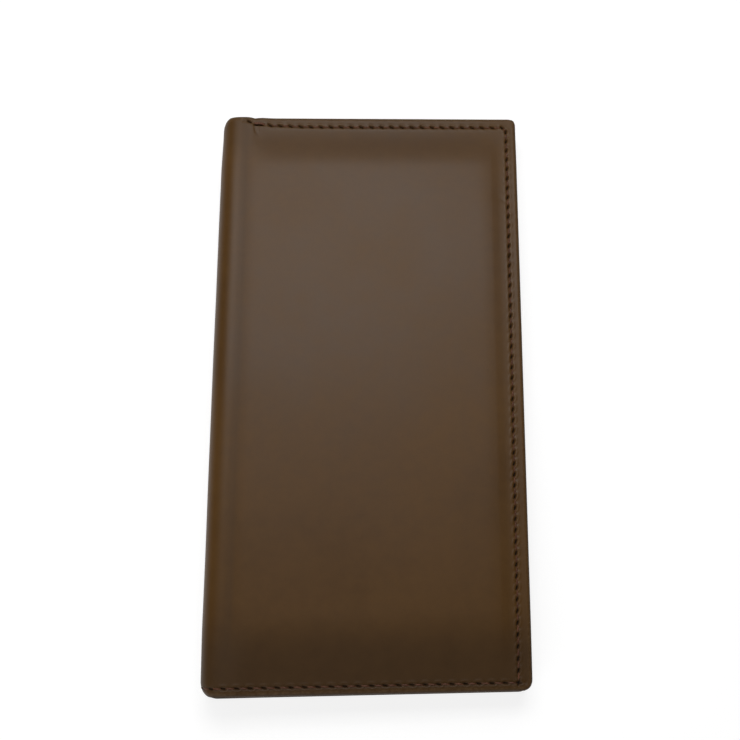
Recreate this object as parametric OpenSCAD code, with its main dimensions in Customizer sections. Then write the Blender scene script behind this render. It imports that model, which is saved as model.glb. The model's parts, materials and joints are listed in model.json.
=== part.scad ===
// Long wallet: two padded leather halves joined by a rolled spine, with card pockets,
// bill pockets that open towards the spine, and a zipped coin pocket.
// The wallet lies closed on its back: X runs from the spine to the free edge,
// Y along its length, Z up. Each half is drawn lying on its outer face.

/* [Wallet] */
// Width from the outside of the spine to the free edge
wallet_w = 100; // [90:1:140]
// Length of the spine
wallet_l = 190; // [180:1:240]
// Thickness of the closed wallet at the spine
spine_t = 15; // [12.5:0.5:24]
// Air left between the two inner faces at the free edge
closed_gap = 0.6; // [0.3:0.1:2]
// Radius of the free corners
corner_r = 2.5; // [1:0.5:6]

/* [Padding] */
// How far the sewn edge lies below the padded face
pad_drop = 2; // [1.6:0.1:3]
// How far the ends of the spine are pulled in
spine_drop = 0.6; // [0.2:0.1:1.2]
// Width of the flat sewn edge
land_w = 5; // [4:0.5:8]
// Width of the slope from the sewn edge to the padded face
slope_w = 8; // [4:0.5:14]
// Length over which the sewn edge rises to the spine
ramp_l = 8; // [4:0.5:14]

/* [Materials] */
// Cover leather
cover_t = 1; // [0.8:0.1:1.6]
// Inner page leather
page_t = 0.75; // [0.6:0.05:1.2]
// Card pocket leather
pocket_t = 0.55; // [0.4:0.05:0.8]
// Lining cloth
cloth_t = 0.15; // [0.1:0.05:0.25]
// Stiffening board
board_t = 0.4; // [0.3:0.1:0.8]
// Clear film over the identity card
film_t = 0.2; // [0.1:0.05:0.3]

/* [Cards] */
// Width of a card
card_l = 85.6; // [80:0.1:90]
// Height of a card
card_h = 54; // [50:0.1:60]
// Number of card pockets in the back half
pocket_n = 8; // [4:1:8]
// Distance from one pocket mouth to the next
pocket_step = 15; // [12:0.5:16]
// Height of the lowest pocket
pocket_low = 45; // [40:1:50]
// How far each pocket is tucked under the one below it
tuck = 4; // [2:0.5:8]
// How far a pocket mouth stands off the page
mouth_rise = 0.95; // [0.85:0.05:1.5]
// Number of upright slots in the front half
slot_n = 3; // [1:1:3]
// Distance from one upright slot to the next
slot_step = 18; // [12:0.5:18]
// Height of the lowest upright slot
slot_low = 36; // [30:1:40]

/* [Stitching] */
// Distance of a seam from the edge
seam_in = 3.4; // [2.5:0.1:4.5]
// Distance from the pockets' spine edge to their seam
side_seam_in = 2.4; // [2:0.1:4]
// Distance from stitch to stitch
stitch_pitch = 3.5; // [2.5:0.1:5]
// Length of one stitch
stitch_l = 2.4; // [1.5:0.1:3]
// Width of the thread
thread_w = 0.8; // [0.5:0.1:1]

/* [Zip] */
// Length of the toothed part
zip_l = 150; // [120:1:160]
// Width of the window in the page
zip_window_w = 7.4; // [7:0.1:9]
// Width of one half of the tape
tape_w = 7.5; // [6:0.5:9]
// Thickness of the tape
tape_t = 0.4; // [0.3:0.05:0.5]
// Thickness of the teeth
tooth_h = 1.3; // [1.1:0.1:1.5]
// Distance from tooth to tooth
tooth_pitch = 2; // [1.5:0.1:3]
// Length of the slider
slider_l = 9; // [8:0.5:11]
// Width of the slider
slider_w = 6.2; // [5.8:0.1:6.6]
// Thickness of the slider's plates
plate_t = 0.4; // [0.3:0.05:0.5]
// Length of the puller's tab
puller_l = 15; // [10:1:20]
// Width of the puller
puller_w = 4.6; // [4:0.1:6]
// Thickness of the puller
puller_t = 0.7; // [0.5:0.1:0.8]

/* [Hidden] */
$fn = 64;
eps = 0.02;
ease_n = 6;

// spine
spine_r = spine_t / 2;
strip_gap = 0.3;
fold_n = 3;
lap = 0.5;
page_back_edge = 0.5;
reach = wallet_w - spine_r;
half_l = wallet_l / 2;

// depths below the padded face, going inwards
lining_flat = cover_t + board_t;
page_low = pad_drop + cover_t + 3 * cloth_t;
page_face = page_low + page_t;
pocket_base = page_face + eps;
pocket_top = pocket_base + mouth_rise + pocket_t;
divider_flat = (lining_flat + page_low) / 2;

// closing angle: the pockets of the two halves just clear each other at the free edge
wedge = asin((spine_t - 2 * pocket_top - closed_gap) / (reach - lap));
arc = 180 + wedge;
gap_a = strip_gap / 2 / spine_r * 180 / PI;
front_reach = (reach - (spine_r - pad_drop) * sin(wedge)) / cos(wedge);

// board
board_x = 3.5;
board_end = land_w + slope_w;
board_ease = 0.2;

// pages
page_x = -page_back_edge;
page_l = half_l - lap;
page_r = 2.2;
seam_l = half_l - seam_in;
side_seam_x = page_x + side_seam_in;

// card pockets: the mouth of pocket 0 is the highest
low_mouth = -page_l + pocket_low;

// upright slots and the identity window, sized by the card
card_room = 8;
column_x = reach - seam_in - card_h - card_room - side_seam_in;
card_spare = 2;
frame_h = card_l + seam_in + card_spare;
frame_t = 0.88;
frame_border = 10;
frame_r = 4;
slot_gap = 3;
slot_base = -page_l + frame_h + slot_gap;
slot_seam_in = 2;
film_lap = 3;
film_short = 2;
film_gap = 0.1;

// zip
zip_x = 12.5;
zip_mid = page_low - tape_t / 2;
row_gap = 0.5;
tooth_clear = 0.5;
tooth_l = 1;
tape_in = 1.5;
run_clear = 0.1;
slider_h = tooth_h + 2 * run_clear + 2 * plate_t;
flange_t = 0.5;
flange_gap = 0.15;
tooth_reach = slider_w / 2 - flange_t - tooth_clear;
web_w = 0.5;
web_l = 3.5;
slider_rest = 3;
bridge_w = 1.2;
bridge_l = 4.8;
bridge_post = 0.8;
bridge_t = 0.3;
pin_r = 0.35;
pin_room = 2 * pin_r + 2 * run_clear;
arm_in = 1.3;
puller_gap = 0.6;
puller_neck = 1.5;
puller_r = 1.2;
puller_hole_r = 1;
puller_hole_in = 2.6;
slider_y = zip_l / 2 - slider_l / 2 - slider_rest;
slider_face = zip_mid + slider_h / 2;
pin_z = slider_face + pin_room / 2;
stop_l = 1.6;
stop_over = 0.2;
window_over = 2;
window_end = zip_l / 2 + stop_l + window_over;
window_ease = 0.2;
zip_seam_in = 1.8;
tape_over = 6;
tape_half = zip_l / 2 + tape_over;
tape_room = 0.2;
bag_room = 0.3;
bag_flat = max(lining_flat + cloth_t + run_clear, zip_mid - slider_h / 2 - bag_room - cloth_t);

cover_brown = [0.33, 0.26, 0.19];
page_brown = [0.36, 0.28, 0.20];
lining_brown = [0.20, 0.15, 0.12];
thread_red = [0.38, 0.18, 0.12];
board_grey = [0.55, 0.52, 0.46];
brass = [0.72, 0.58, 0.32];
clear = [0.85, 0.9, 0.92, 0.5];

// ---- curves -------------------------------------------------------------------------

function ease(s) = s * s * (3 - 2 * s);

// points of a soft step from height a at place p to height b at place q
function soft_step(p, q, a, b) =
    [for (i = [0:ease_n]) let (s = i / ease_n) [p + (q - p) * s, a + (b - a) * ease(s)]];

// depth of the sewn edge at distance x from the spine's roll
function land_depth(x) =
    x >= ramp_l ? pad_drop : spine_drop + (pad_drop - spine_drop) * ease(max(x, 0) / ramp_l);

// depth of a layer across the wallet: level at the spine, over the face and at the free edge
function across(at_spine, at_face, at_edge, x_end) = concat(
    [[-1, at_spine]],
    soft_step(1, board_x - board_ease, at_spine, at_face),
    soft_step(x_end - board_end, x_end - land_w, at_face, at_edge),
    [[x_end + 1, at_edge]]
);

// depth of a layer along the wallet
function along(at_face, at_edge) = concat(
    [[-half_l - 1, at_edge]],
    soft_step(-half_l + land_w, -half_l + board_end, at_edge, at_face),
    soft_step(half_l - board_end, half_l - land_w, at_face, at_edge),
    [[half_l + 1, at_edge]]
);

// ---- shared shapes ------------------------------------------------------------------

// outline of a half or a page: square at the spine, rounded at the free corners
module outline(x0, x1, y1, r) {
    translate([x0, -y1]) square([x1 - x0 - r, 2 * y1]);
    translate([x0, -y1 + r]) square([x1 - x0, 2 * y1 - 2 * r]);
    for (side = [-1, 1]) translate([x1 - r, side * (y1 - r)]) circle(r);
}

// outline with all four corners rounded
module rounded(x0, x1, y0, y1, r) {
    translate([x0 + r, y0]) square([x1 - x0 - 2 * r, y1 - y0]);
    translate([x0, y0 + r]) square([x1 - x0, y1 - y0 - 2 * r]);
    for (x = [x0 + r, x1 - r], y = [y0 + r, y1 - r]) translate([x, y]) circle(r);
}

// everything deeper than a line of depths given across the wallet
module below_across(line) {
    deep = spine_t;
    far = line[len(line) - 1][0];
    rotate([90, 0, 0]) linear_extrude(wallet_l + 4, center = true)
        polygon(concat(line, [[far, deep], [line[0][0], deep]]));
}

// everything deeper than a line of depths given along the wallet
module below_along(line) {
    deep = spine_t;
    translate([-2, 0, 0]) rotate([90, 0, 90]) linear_extrude(wallet_w + 4)
        polygon(concat(line, [[half_l + 1, deep], [-half_l - 1, deep]]));
}

// everything deeper than a padded surface that lies "shift" below the outer face
module below_skin(across_line, shift) {
    intersection() {
        below_across(across_line);
        union() {
            below_along(along(shift, pad_drop + shift));
            below_across(concat(
                [[-1, spine_drop + shift]],
                soft_step(0, ramp_l, spine_drop + shift, pad_drop + shift),
                [[wallet_w, pad_drop + shift]]
            ));
        }
    }
}

// moves every depth of a line by t
function deeper(line, t) = [for (p = line) [p[0], p[1] + t]];

// a padded sheet of thickness t, cut to an outline
module padded_sheet(across_line, shift, t, x0, x1, y1, r) {
    intersection() {
        difference() {
            below_skin(across_line, shift);
            below_skin(deeper(across_line, t), shift + t);
        }
        linear_extrude(spine_t) outline(x0, x1, y1, r);
    }
}

// part of the spine's roll, from angle a0 to a1, counted from the back half's face
module roll(a0, a1, shift, t, y1) {
    depth = [
        for (p = along(shift, pad_drop + shift)) [min(max(p[0], -y1), y1), min(p[1], spine_drop + shift)]
    ];
    last = len(depth) - 1;
    rotate([-90, 0, 0]) rotate([0, 0, 90 + a0]) rotate_extrude(angle = a1 - a0)
        polygon(concat(
            [for (i = [0:last]) [spine_r - depth[i][1], depth[i][0]]],
            [for (i = [last:-1:0]) [spine_r - depth[i][1] - t, depth[i][0]]]
        ));
}

// a flat sheet between two depths
module flat_sheet(z0, z1) {
    translate([0, 0, z0]) linear_extrude(z1 - z0) children();
}

// places a half that is drawn lying on its outer face with x = 0 at the spine's centre
module as_back() {
    translate([spine_r - wallet_w / 2, 0, 0]) children();
}

module as_front() {
    translate([spine_r - wallet_w / 2, 0, spine_r]) rotate([0, wedge, 0])
        mirror([0, 0, 1]) translate([0, 0, -spine_r]) children();
}

module at_spine_centre() {
    translate([spine_r - wallet_w / 2, 0, spine_r]) children();
}

// ---- leather and cloth of one half --------------------------------------------------

module cover_half(x1) {
    padded_sheet(across(0, 0, pad_drop, x1), 0, cover_t, 0, x1, half_l, corner_r);
    translate([0, 0, spine_r]) roll(0, arc / (2 * fold_n) - gap_a, 0, cover_t, half_l);
}

module lining_half(x1) {
    padded_sheet(
        across(cover_t, lining_flat, pad_drop + cover_t, x1), cover_t, cloth_t,
        0, x1 - lap, page_l, page_r
    );
    translate([0, 0, spine_r]) roll(0, arc / (2 * fold_n) - gap_a, cover_t, cloth_t, page_l);
}

module board_half(x1) {
    flat_sheet(cover_t, lining_flat)
        outline(board_x, x1 - board_end, half_l - board_end, corner_r);
}

// ---- pockets ------------------------------------------------------------------------

// a pocket front: its foot lies on the page and its mouth stands off it
module pocket_front(x0, x1, y0, y1) {
    translate([x0, 0, 0]) rotate([90, 0, 90]) linear_extrude(x1 - x0)
        polygon([
            [y0, pocket_base],
            [y1, pocket_base + mouth_rise],
            [y1, pocket_base + mouth_rise + pocket_t],
            [y0, pocket_base + pocket_t]
        ]);
}

function mouth_y(i, low, step, n) = low + (n - 1 - i) * step;

function foot_y(i, low, step, n, bottom) =
    i == n - 1 ? bottom : mouth_y(i, low, step, n) - step - tuck;

// surface of a bank of pockets at y: the pocket whose visible part holds y
function bank_face(y, low, step, n, bottom) =
    y > mouth_y(0, low, step, n) ? page_face :
    let (
        i = y < low ? n - 1 : n - 1 - ceil((y - low) / step),
        top = mouth_y(i, low, step, n),
        foot = foot_y(i, low, step, n, bottom)
    )
    pocket_base + pocket_t + mouth_rise * (y - foot) / (top - foot);

function card_face(y) = bank_face(y, low_mouth, pocket_step, pocket_n, -page_l);

function slot_face(y) =
    y < slot_base - slot_gap ? page_face + frame_t :
    y < slot_base ? page_face :
    bank_face(y, slot_base + slot_low, slot_step, slot_n, slot_base);

module card_pocket(i) {
    color(page_brown) as_back() pocket_front(
        page_x, reach - lap,
        foot_y(i, low_mouth, pocket_step, pocket_n, -page_l),
        mouth_y(i, low_mouth, pocket_step, pocket_n)
    );
}

module side_slot(i) {
    low = slot_base + slot_low;
    color(page_brown) as_front() pocket_front(
        column_x, front_reach - lap,
        foot_y(i, low, slot_step, slot_n, slot_base),
        mouth_y(i, low, slot_step, slot_n)
    );
}

// ---- stitches -----------------------------------------------------------------------

// one stitch lying along X at a surface, half sunk into it
module stitch() {
    cube([stitch_l, thread_w, thread_w * 0.6], center = true);
}

function row_count(len) = max(1, round(len / stitch_pitch));

// stitches along X on the sewn edge of the outer face
module land_row_x(x0, x1, y) {
    n = row_count(x1 - x0);
    for (i = [0:n - 1]) {
        x = x0 + (i + 0.5) * (x1 - x0) / n;
        translate([x, y, land_depth(x)]) stitch();
    }
}

// stitches along X at one depth
module row_x(x0, x1, y, z) {
    n = row_count(x1 - x0);
    for (i = [0:n - 1]) translate([x0 + (i + 0.5) * (x1 - x0) / n, y, z]) stitch();
}

// stitches along Y at one depth
module row_y(x, y0, y1, z) {
    n = row_count(y1 - y0);
    for (i = [0:n - 1]) translate([x, y0 + (i + 0.5) * (y1 - y0) / n, z]) rotate(90) stitch();
}

// the outer face's seam: along the far end, down the free edge and back to the spine
module outer_seam(x1) {
    side_x = x1 - seam_in;
    land_row_x(stitch_pitch / 4, side_x, seam_l);
    land_row_x(0, side_x, -seam_l);
    row_y(side_x, -seam_l, seam_l, pad_drop);
}

// stitches that carry the lower seam round part of the spine's roll
module roll_row(a0, a1) {
    n = row_count((spine_r - spine_drop) * (a1 - a0) * PI / 180);
    for (i = [0:n - 1]) {
        a = a0 + (i + 0.5) * (a1 - a0) / n;
        rotate([0, a, 0]) translate([0, -seam_l, spine_drop - spine_r]) stitch();
    }
}

// ---- back half ----------------------------------------------------------------------

module back_cover() {
    color(cover_brown) as_back() cover_half(reach);
}

module back_board() {
    color(board_grey) as_back() board_half(reach);
}

module back_lining() {
    color(lining_brown) as_back() lining_half(reach);
}

module bill_divider() {
    shift = cover_t + cloth_t;
    line = across(divider_flat, divider_flat, pad_drop + shift, reach);
    color(lining_brown) as_back()
        padded_sheet(line, shift, cloth_t, board_x, reach - lap, page_l, page_r);
}

module back_page_backing() {
    color(lining_brown) as_back() flat_sheet(page_low - cloth_t, page_low)
        outline(page_x, reach - lap, page_l, page_r);
}

module back_page() {
    color(page_brown) as_back() flat_sheet(page_low, page_face)
        outline(page_x, reach - lap, page_l, page_r);
}

module back_seam_thread() {
    color(thread_red) as_back() outer_seam(reach);
}

module back_page_thread() {
    n = row_count(2 * seam_l);
    side_x = reach - seam_in;
    color(thread_red) as_back() {
        row_x(side_seam_x, side_x, seam_l, page_face);
        row_x(side_seam_x, side_x, -seam_l, card_face(-seam_l));
        for (x = [side_seam_x, side_x], i = [0:n - 1]) {
            y = -seam_l + (i + 0.5) * 2 * seam_l / n;
            translate([x, y, card_face(y)]) rotate(90) stitch();
        }
    }
}

// ---- spine --------------------------------------------------------------------------

// angle at which strip i of the roll begins; strips 0 and fold_n belong to the halves
function strip_start(i) = arc * (2 * i - 1) / (2 * fold_n);

module spine_strip(i, shift, t, y1) {
    at_spine_centre() roll(strip_start(i) + gap_a, strip_start(i + 1) - gap_a, shift, t, y1);
}

module spine_lower_leather() {
    color(cover_brown) spine_strip(1, 0, cover_t, half_l);
}

module spine_lower_lining() {
    color(lining_brown) spine_strip(1, cover_t, cloth_t, page_l);
}

module spine_lower_thread() {
    color(thread_red) at_spine_centre() roll_row(strip_start(1), strip_start(2));
}

module spine_upper_leather() {
    color(cover_brown) spine_strip(2, 0, cover_t, half_l);
}

module spine_upper_lining() {
    color(lining_brown) spine_strip(2, cover_t, cloth_t, page_l);
}

module spine_upper_thread() {
    color(thread_red) at_spine_centre() roll_row(strip_start(2), strip_start(3));
}

// ---- front half ---------------------------------------------------------------------

module front_cover() {
    color(cover_brown) as_front() cover_half(front_reach);
}

module front_board() {
    color(board_grey) as_front() board_half(front_reach);
}

module front_lining() {
    color(lining_brown) as_front() lining_half(front_reach);
}

// back of the coin pocket: it comes up to the page along the spine, so nothing falls out
module coin_bag() {
    shift = cover_t + cloth_t;
    rim = pad_drop + shift;
    rim_end = side_seam_x + thread_w;
    line = concat(
        [[page_x - 1, rim], [rim_end, rim]],
        soft_step(rim_end, zip_x - tape_w, rim, bag_flat),
        soft_step(front_reach - board_end, front_reach - land_w, bag_flat, rim),
        [[front_reach + 1, rim]]
    );
    color(lining_brown) as_front() intersection() {
        difference() {
            intersection() {
                below_across(line);
                below_along(along(shift, rim));
            }
            intersection() {
                below_across(deeper(line, cloth_t));
                below_along(along(shift + cloth_t, rim + cloth_t));
            }
        }
        linear_extrude(spine_t) outline(page_x, front_reach - lap, page_l, page_r);
    }
}

module front_page_backing() {
    color(lining_brown) as_front() flat_sheet(page_low - cloth_t, page_low) difference() {
        outline(page_x, front_reach - lap, page_l, page_r);
        translate([zip_x, 0])
            square(2 * [tape_w + tape_in + tape_room, tape_half + tape_room], center = true);
    }
}

module front_page() {
    window_r = zip_window_w / 2;
    color(page_brown) as_front() flat_sheet(page_low, page_face) difference() {
        outline(page_x, front_reach - lap, page_l, page_r);
        rounded(zip_x - window_r, zip_x + window_r, -window_end, window_end, window_r - window_ease);
    }
}

module id_frame() {
    x1 = front_reach - lap;
    top = -page_l + frame_h;
    win_x0 = column_x + frame_border;
    win_x1 = x1 - frame_border;
    win_y0 = -page_l + frame_border;
    color(page_brown) as_front() difference() {
        flat_sheet(page_face, page_face + frame_t) difference() {
            outline(column_x, x1, page_l, page_r);
            translate([column_x - 1, top]) square([x1, wallet_l]);
            rounded(win_x0, win_x1, win_y0, top - frame_border, frame_r);
        }
        translate([win_x0 - film_lap, win_y0 - film_lap, page_face - 1])
            cube([win_x1 - win_x0 + 2 * film_lap, wallet_l, 1 + film_t + film_gap]);
    }
}

module id_film() {
    x0 = column_x + frame_border - film_lap;
    x1 = front_reach - lap - frame_border + film_lap;
    y0 = -page_l + frame_border - film_lap;
    color(clear) as_front() translate([x0 + eps, y0 + eps, page_face + film_gap])
        cube([x1 - x0 - 2 * eps, frame_h - frame_border + film_lap - film_short, film_t]);
}

module front_seam_thread() {
    color(thread_red) as_front() outer_seam(front_reach);
}

module front_page_thread() {
    n = row_count(2 * seam_l);
    side_x = front_reach - seam_in;
    column_seam = column_x + side_seam_in;
    color(thread_red) as_front() {
        row_x(side_seam_x, side_x, seam_l, page_face);
        row_x(side_seam_x, column_x - 1, -seam_l, page_face);
        row_x(column_seam, side_x, -seam_l, page_face + frame_t);
        for (i = [0:n - 1]) {
            y = -seam_l + (i + 0.5) * 2 * seam_l / n;
            translate([side_x, y, slot_face(y)]) rotate(90) stitch();
            translate([side_seam_x, y, page_face]) rotate(90) stitch();
        }
    }
}

module side_slot_thread() {
    column_seam = column_x + side_seam_in;
    top = mouth_y(0, slot_base + slot_low, slot_step, slot_n);
    n = row_count(top + seam_l);
    color(thread_red) as_front() {
        row_x(
            column_seam + slot_seam_in, front_reach - seam_in - slot_seam_in,
            slot_base + slot_seam_in, slot_face(slot_base + slot_seam_in)
        );
        for (i = [1:n - 2]) {
            y = -seam_l + (i + 0.5) * (top + seam_l) / n;
            translate([column_seam, y, slot_face(y)]) rotate(90) stitch();
        }
    }
}

module zip_seam_thread() {
    off = zip_window_w / 2 + zip_seam_in;
    end = window_end + zip_seam_in;
    color(thread_red) as_front() {
        for (side = [-1, 1]) {
            row_y(zip_x + side * off, -end, end, page_face);
            row_x(zip_x - off + 1, zip_x + off - 1, side * end, page_face);
        }
    }
}

// ---- zip ----------------------------------------------------------------------------

module zip_tape(side) {
    color(lining_brown) as_front() translate([zip_x, 0, zip_mid])
        translate([side * (tape_in + tape_w / 2), 0, 0])
            cube([tape_w, 2 * tape_half, tape_t], center = true);
}

module zip_teeth(side) {
    n = floor(zip_l / tooth_pitch) - 2;
    w = tooth_reach - row_gap;
    color(brass) as_front() translate([zip_x + side * (row_gap + w / 2), 0, zip_mid])
        for (i = [0:n - 1])
            translate([0, (i - (n - 1) / 2 + side / 4) * tooth_pitch, 0])
                cube([w, tooth_l, tooth_h], center = true);
}

module zip_stop(end) {
    color(brass) as_front() translate([zip_x, end * (zip_l / 2 + stop_l / 2), zip_mid])
        cube([2 * tooth_reach, stop_l, tooth_h + stop_over], center = true);
}

// one plate of the slider with its turned-in flanges, on the side given
module slider_plate(side) {
    z = side * (slider_h / 2 - plate_t / 2);
    flange_h = slider_h / 2 - plate_t - tape_t / 2 - flange_gap;
    translate([0, 0, z]) cube([slider_w, slider_l, plate_t], center = true);
    for (x = [-1, 1])
        translate([
            x * (slider_w - flange_t) / 2, 0,
            side * (tape_t / 2 + flange_gap + flange_h / 2 + eps / 2)
        ]) cube([flange_t, slider_l, flange_h + eps], center = true);
}

module zip_slider() {
    bridge_z = slider_h / 2 + pin_room;
    color(brass) as_front() translate([zip_x, slider_y, zip_mid]) {
        slider_plate(-1);
        slider_plate(1);
        translate([0, (slider_l - web_l) / 2, 0])
            cube([web_w, web_l, slider_h], center = true);
        translate([0, 0, bridge_z + bridge_t / 2])
            cube([bridge_w, bridge_l, bridge_t], center = true);
        for (end = [-1, 1])
            translate([0, end * (bridge_l - bridge_post) / 2, (slider_h / 2 + bridge_z) / 2])
                cube([bridge_w, bridge_post, pin_room + 2 * eps], center = true);
    }
}

// lies along the zip behind the slider; its pin passes under the slider's bridge
module zip_puller() {
    pin_l = puller_w;
    arm_w = puller_w / 2 - arm_in;
    tab_y = -bridge_l / 2 - puller_gap;
    color(brass) as_front() translate([zip_x, slider_y, pin_z]) {
        rotate([0, 90, 0]) cylinder(r = pin_r, h = pin_l, center = true);
        for (x = [-1, 1])
            translate([x * (arm_in + arm_w / 2), (tab_y - eps) / 2, 0])
                cube([arm_w, -tab_y + eps, puller_t], center = true);
        translate([0, tab_y, -puller_t / 2]) linear_extrude(puller_t) difference() {
            rounded(-puller_w / 2, puller_w / 2, -puller_l, 0, puller_r);
            translate([0, -puller_l + puller_hole_in]) circle(puller_hole_r);
        }
        translate([-puller_w / 2, tab_y - puller_neck, -puller_t / 2])
            cube([puller_w, puller_neck, puller_t]);
    }
}

back_cover();
back_board();
back_lining();
bill_divider();
back_page_backing();
back_page();
card_pocket(0);  // card_pocket_1
card_pocket(1);  // card_pocket_2
card_pocket(2);  // card_pocket_3
card_pocket(3);  // card_pocket_4
card_pocket(4);  // card_pocket_5
card_pocket(5);  // card_pocket_6
card_pocket(6);  // card_pocket_7
card_pocket(7);  // card_pocket_8
back_seam_thread();
back_page_thread();
spine_lower_leather();
spine_lower_lining();
spine_lower_thread();
spine_upper_leather();
spine_upper_lining();
spine_upper_thread();
front_cover();
front_board();
front_lining();
coin_bag();
front_page_backing();
front_page();
side_slot(0);  // side_slot_1
side_slot(1);  // side_slot_2
side_slot(2);  // side_slot_3
id_frame();
id_film();
front_seam_thread();
front_page_thread();
side_slot_thread();
zip_seam_thread();
zip_tape(-1);  // zip_tape_inner
zip_tape(1);  // zip_tape_outer
zip_teeth(-1);  // zip_teeth_inner
zip_teeth(1);  // zip_teeth_outer
zip_stop(1);  // zip_top_stop
zip_stop(-1);  // zip_bottom_stop
zip_slider();
zip_puller();
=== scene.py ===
import json
import math

import bmesh
import bpy
import numpy as np
from mathutils import Euler, Matrix, Vector
from mathutils.geometry import delaunay_2d_cdt


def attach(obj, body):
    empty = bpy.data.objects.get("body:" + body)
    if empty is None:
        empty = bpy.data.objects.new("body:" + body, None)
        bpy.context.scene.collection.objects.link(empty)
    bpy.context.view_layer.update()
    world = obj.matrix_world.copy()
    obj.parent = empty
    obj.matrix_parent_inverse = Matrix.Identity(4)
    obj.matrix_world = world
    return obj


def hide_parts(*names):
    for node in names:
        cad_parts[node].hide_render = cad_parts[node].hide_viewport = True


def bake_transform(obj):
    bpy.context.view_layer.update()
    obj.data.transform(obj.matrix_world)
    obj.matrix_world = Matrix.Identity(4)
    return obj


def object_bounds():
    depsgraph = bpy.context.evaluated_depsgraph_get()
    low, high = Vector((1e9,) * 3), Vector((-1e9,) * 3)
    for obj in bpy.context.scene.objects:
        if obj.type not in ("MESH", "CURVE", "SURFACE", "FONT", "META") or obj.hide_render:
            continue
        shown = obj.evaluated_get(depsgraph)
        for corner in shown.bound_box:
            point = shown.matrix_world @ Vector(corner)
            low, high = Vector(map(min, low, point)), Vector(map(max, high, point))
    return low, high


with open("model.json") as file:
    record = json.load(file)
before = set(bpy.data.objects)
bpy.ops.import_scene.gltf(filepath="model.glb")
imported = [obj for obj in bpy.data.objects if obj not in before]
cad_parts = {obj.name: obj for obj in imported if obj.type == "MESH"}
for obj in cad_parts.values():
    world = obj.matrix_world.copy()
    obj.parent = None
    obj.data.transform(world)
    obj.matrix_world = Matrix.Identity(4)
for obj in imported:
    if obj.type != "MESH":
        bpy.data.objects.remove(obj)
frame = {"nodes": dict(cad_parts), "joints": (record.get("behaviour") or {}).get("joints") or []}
cad_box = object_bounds()

# Lengths below are in millimetres and angles in radians; meshes are written in metres.
MM = 0.001

# ---- the closed wallet, as the frame gives it ------------------------------------------

low, high = (np.array(corner) / MM for corner in cad_box)
half_l = (high[1] - low[1]) / 2
roll_r = (high[2] - low[2]) / 2
roll_x = low[0] + roll_r
folds = [j for j in frame["joints"] if j["name"].startswith("spine_fold")]
arc = math.radians(sum(j["range_deg"][1] for j in folds))
wedge = arc - math.pi
half_roll = roll_r * arc / 2
strip_half = roll_r * arc / (2 * len(folds))
reach_back = high[0] - roll_x

# leather and cloth
cover_t = 1.0
board_t = 0.4
pocket_t = 0.55
cloth_t = 0.15
page_lap = 0.5

# the sewn edge of the cover and the padding inside it
land_depth = 1.35
land_at_spine = 0.45
land_rise = 11
sewn_w = 4.3
free_slope = 10.5
shoulder_in = 7.0
free_pad = 0.38
far_slope = 15
near_slope = 28
edge_r = 1.25
edge_fall = 0.95
inner_land = 3.0
seam_in = 3.4

# the valley beside the roll, where the cover hinges
hinge_x = 0.9
hinge_w = 2.3
hinge_depth = 0.3

# the padded face swells a little, and the sewn edge puckers
swell = 0.11
swell_length = 46
pucker = 0.025
pucker_length = 9

# how deep a seam is pressed in, its holes go, and the leather stands up round a hole
groove_depth = 0.16
groove_w = 0.55
hole_depth = 0.62
lip_height = 0.1
lip_w = 0.38

# small marks of use on the front: a crease by the far tack and a dent in the free slope
crease_depth = 0.3
side_crease_depth = 0.16
dent_depth = 0.14

reach_front = (reach_back - (roll_r - 2) * math.sin(wedge)) / math.cos(wedge)


def ease(t):
    t = np.clip(t, 0, 1)
    return t * t * (3 - 2 * t)


def bump(t):
    return np.exp(-t * t)


def ripple(x, y, seed, length, waves=7):
    """A soft seeded unevenness between -1 and 1, with waves of about the given length."""
    rng = np.random.default_rng(seed)
    total = 0
    for turn, stretch, phase in rng.uniform(0, 1, (waves, 3)):
        k = 2 * math.pi / (length * (0.6 + stretch))
        a = 2 * math.pi * turn
        total = total + np.sin(k * (x * math.cos(a) + y * math.sin(a)) + 6.283 * phase)
    return total / waves


# ---- placing: x from the roll's centre, y along, w the depth below the outer face ------

# the wallet is sewn a little out of square: its free edge sits further up than its spine,
# and its far end is a hair wider than its near end
skew = 0.025
taper = 0.00004


def out_of_square(point):
    """Leans points by the skew and the taper, in place."""
    point[..., 0] += taper * (point[..., 0] - low[0]) * point[..., 1]
    point[..., 1] += skew * point[..., 0]
    return point


def square_back(x, y, w):
    """A place on the back half, which lies flat on the floor."""
    return np.stack([roll_x + x, y, w], -1)


def square_front(x, y, w):
    """A place on the front half, which slopes down to its free edge."""
    z = roll_r - w
    return np.stack([
        roll_x + x * math.cos(wedge) + z * math.sin(wedge),
        y,
        roll_r - x * math.sin(wedge) + z * math.cos(wedge),
    ], -1)


def on_back(x, y, w):
    return out_of_square(square_back(*np.broadcast_arrays(x, y, w)))


def on_front(x, y, w):
    return out_of_square(square_front(*np.broadcast_arrays(x, y, w)))


def round_corner(dx, dy, r):
    """Distances from two edges, moved so that a square corner becomes round."""
    a = np.clip(1 - dx / r, 0, 1)
    b = np.clip(1 - dy / r, 0, 1)
    inside = (dx < r) & (dy < r)
    new_dx = r * (1 - a * np.sqrt(1 - b * b / 2))
    new_dy = r * (1 - b * np.sqrt(1 - a * a / 2))
    return np.where(inside, new_dx, dx), np.where(inside, new_dy, dy)


# how round the corners are, how deep the notch by the far tack is and where,
# and how far the roll stands out towards a square one
far_corner_r = 2.4
near_corner_r = 3.2
far_spine_r = 3.2
near_spine_r = 5.0
notch = 0.42
notch_x = 3.9
notch_fade = 14
squareness = 0.7


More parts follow.
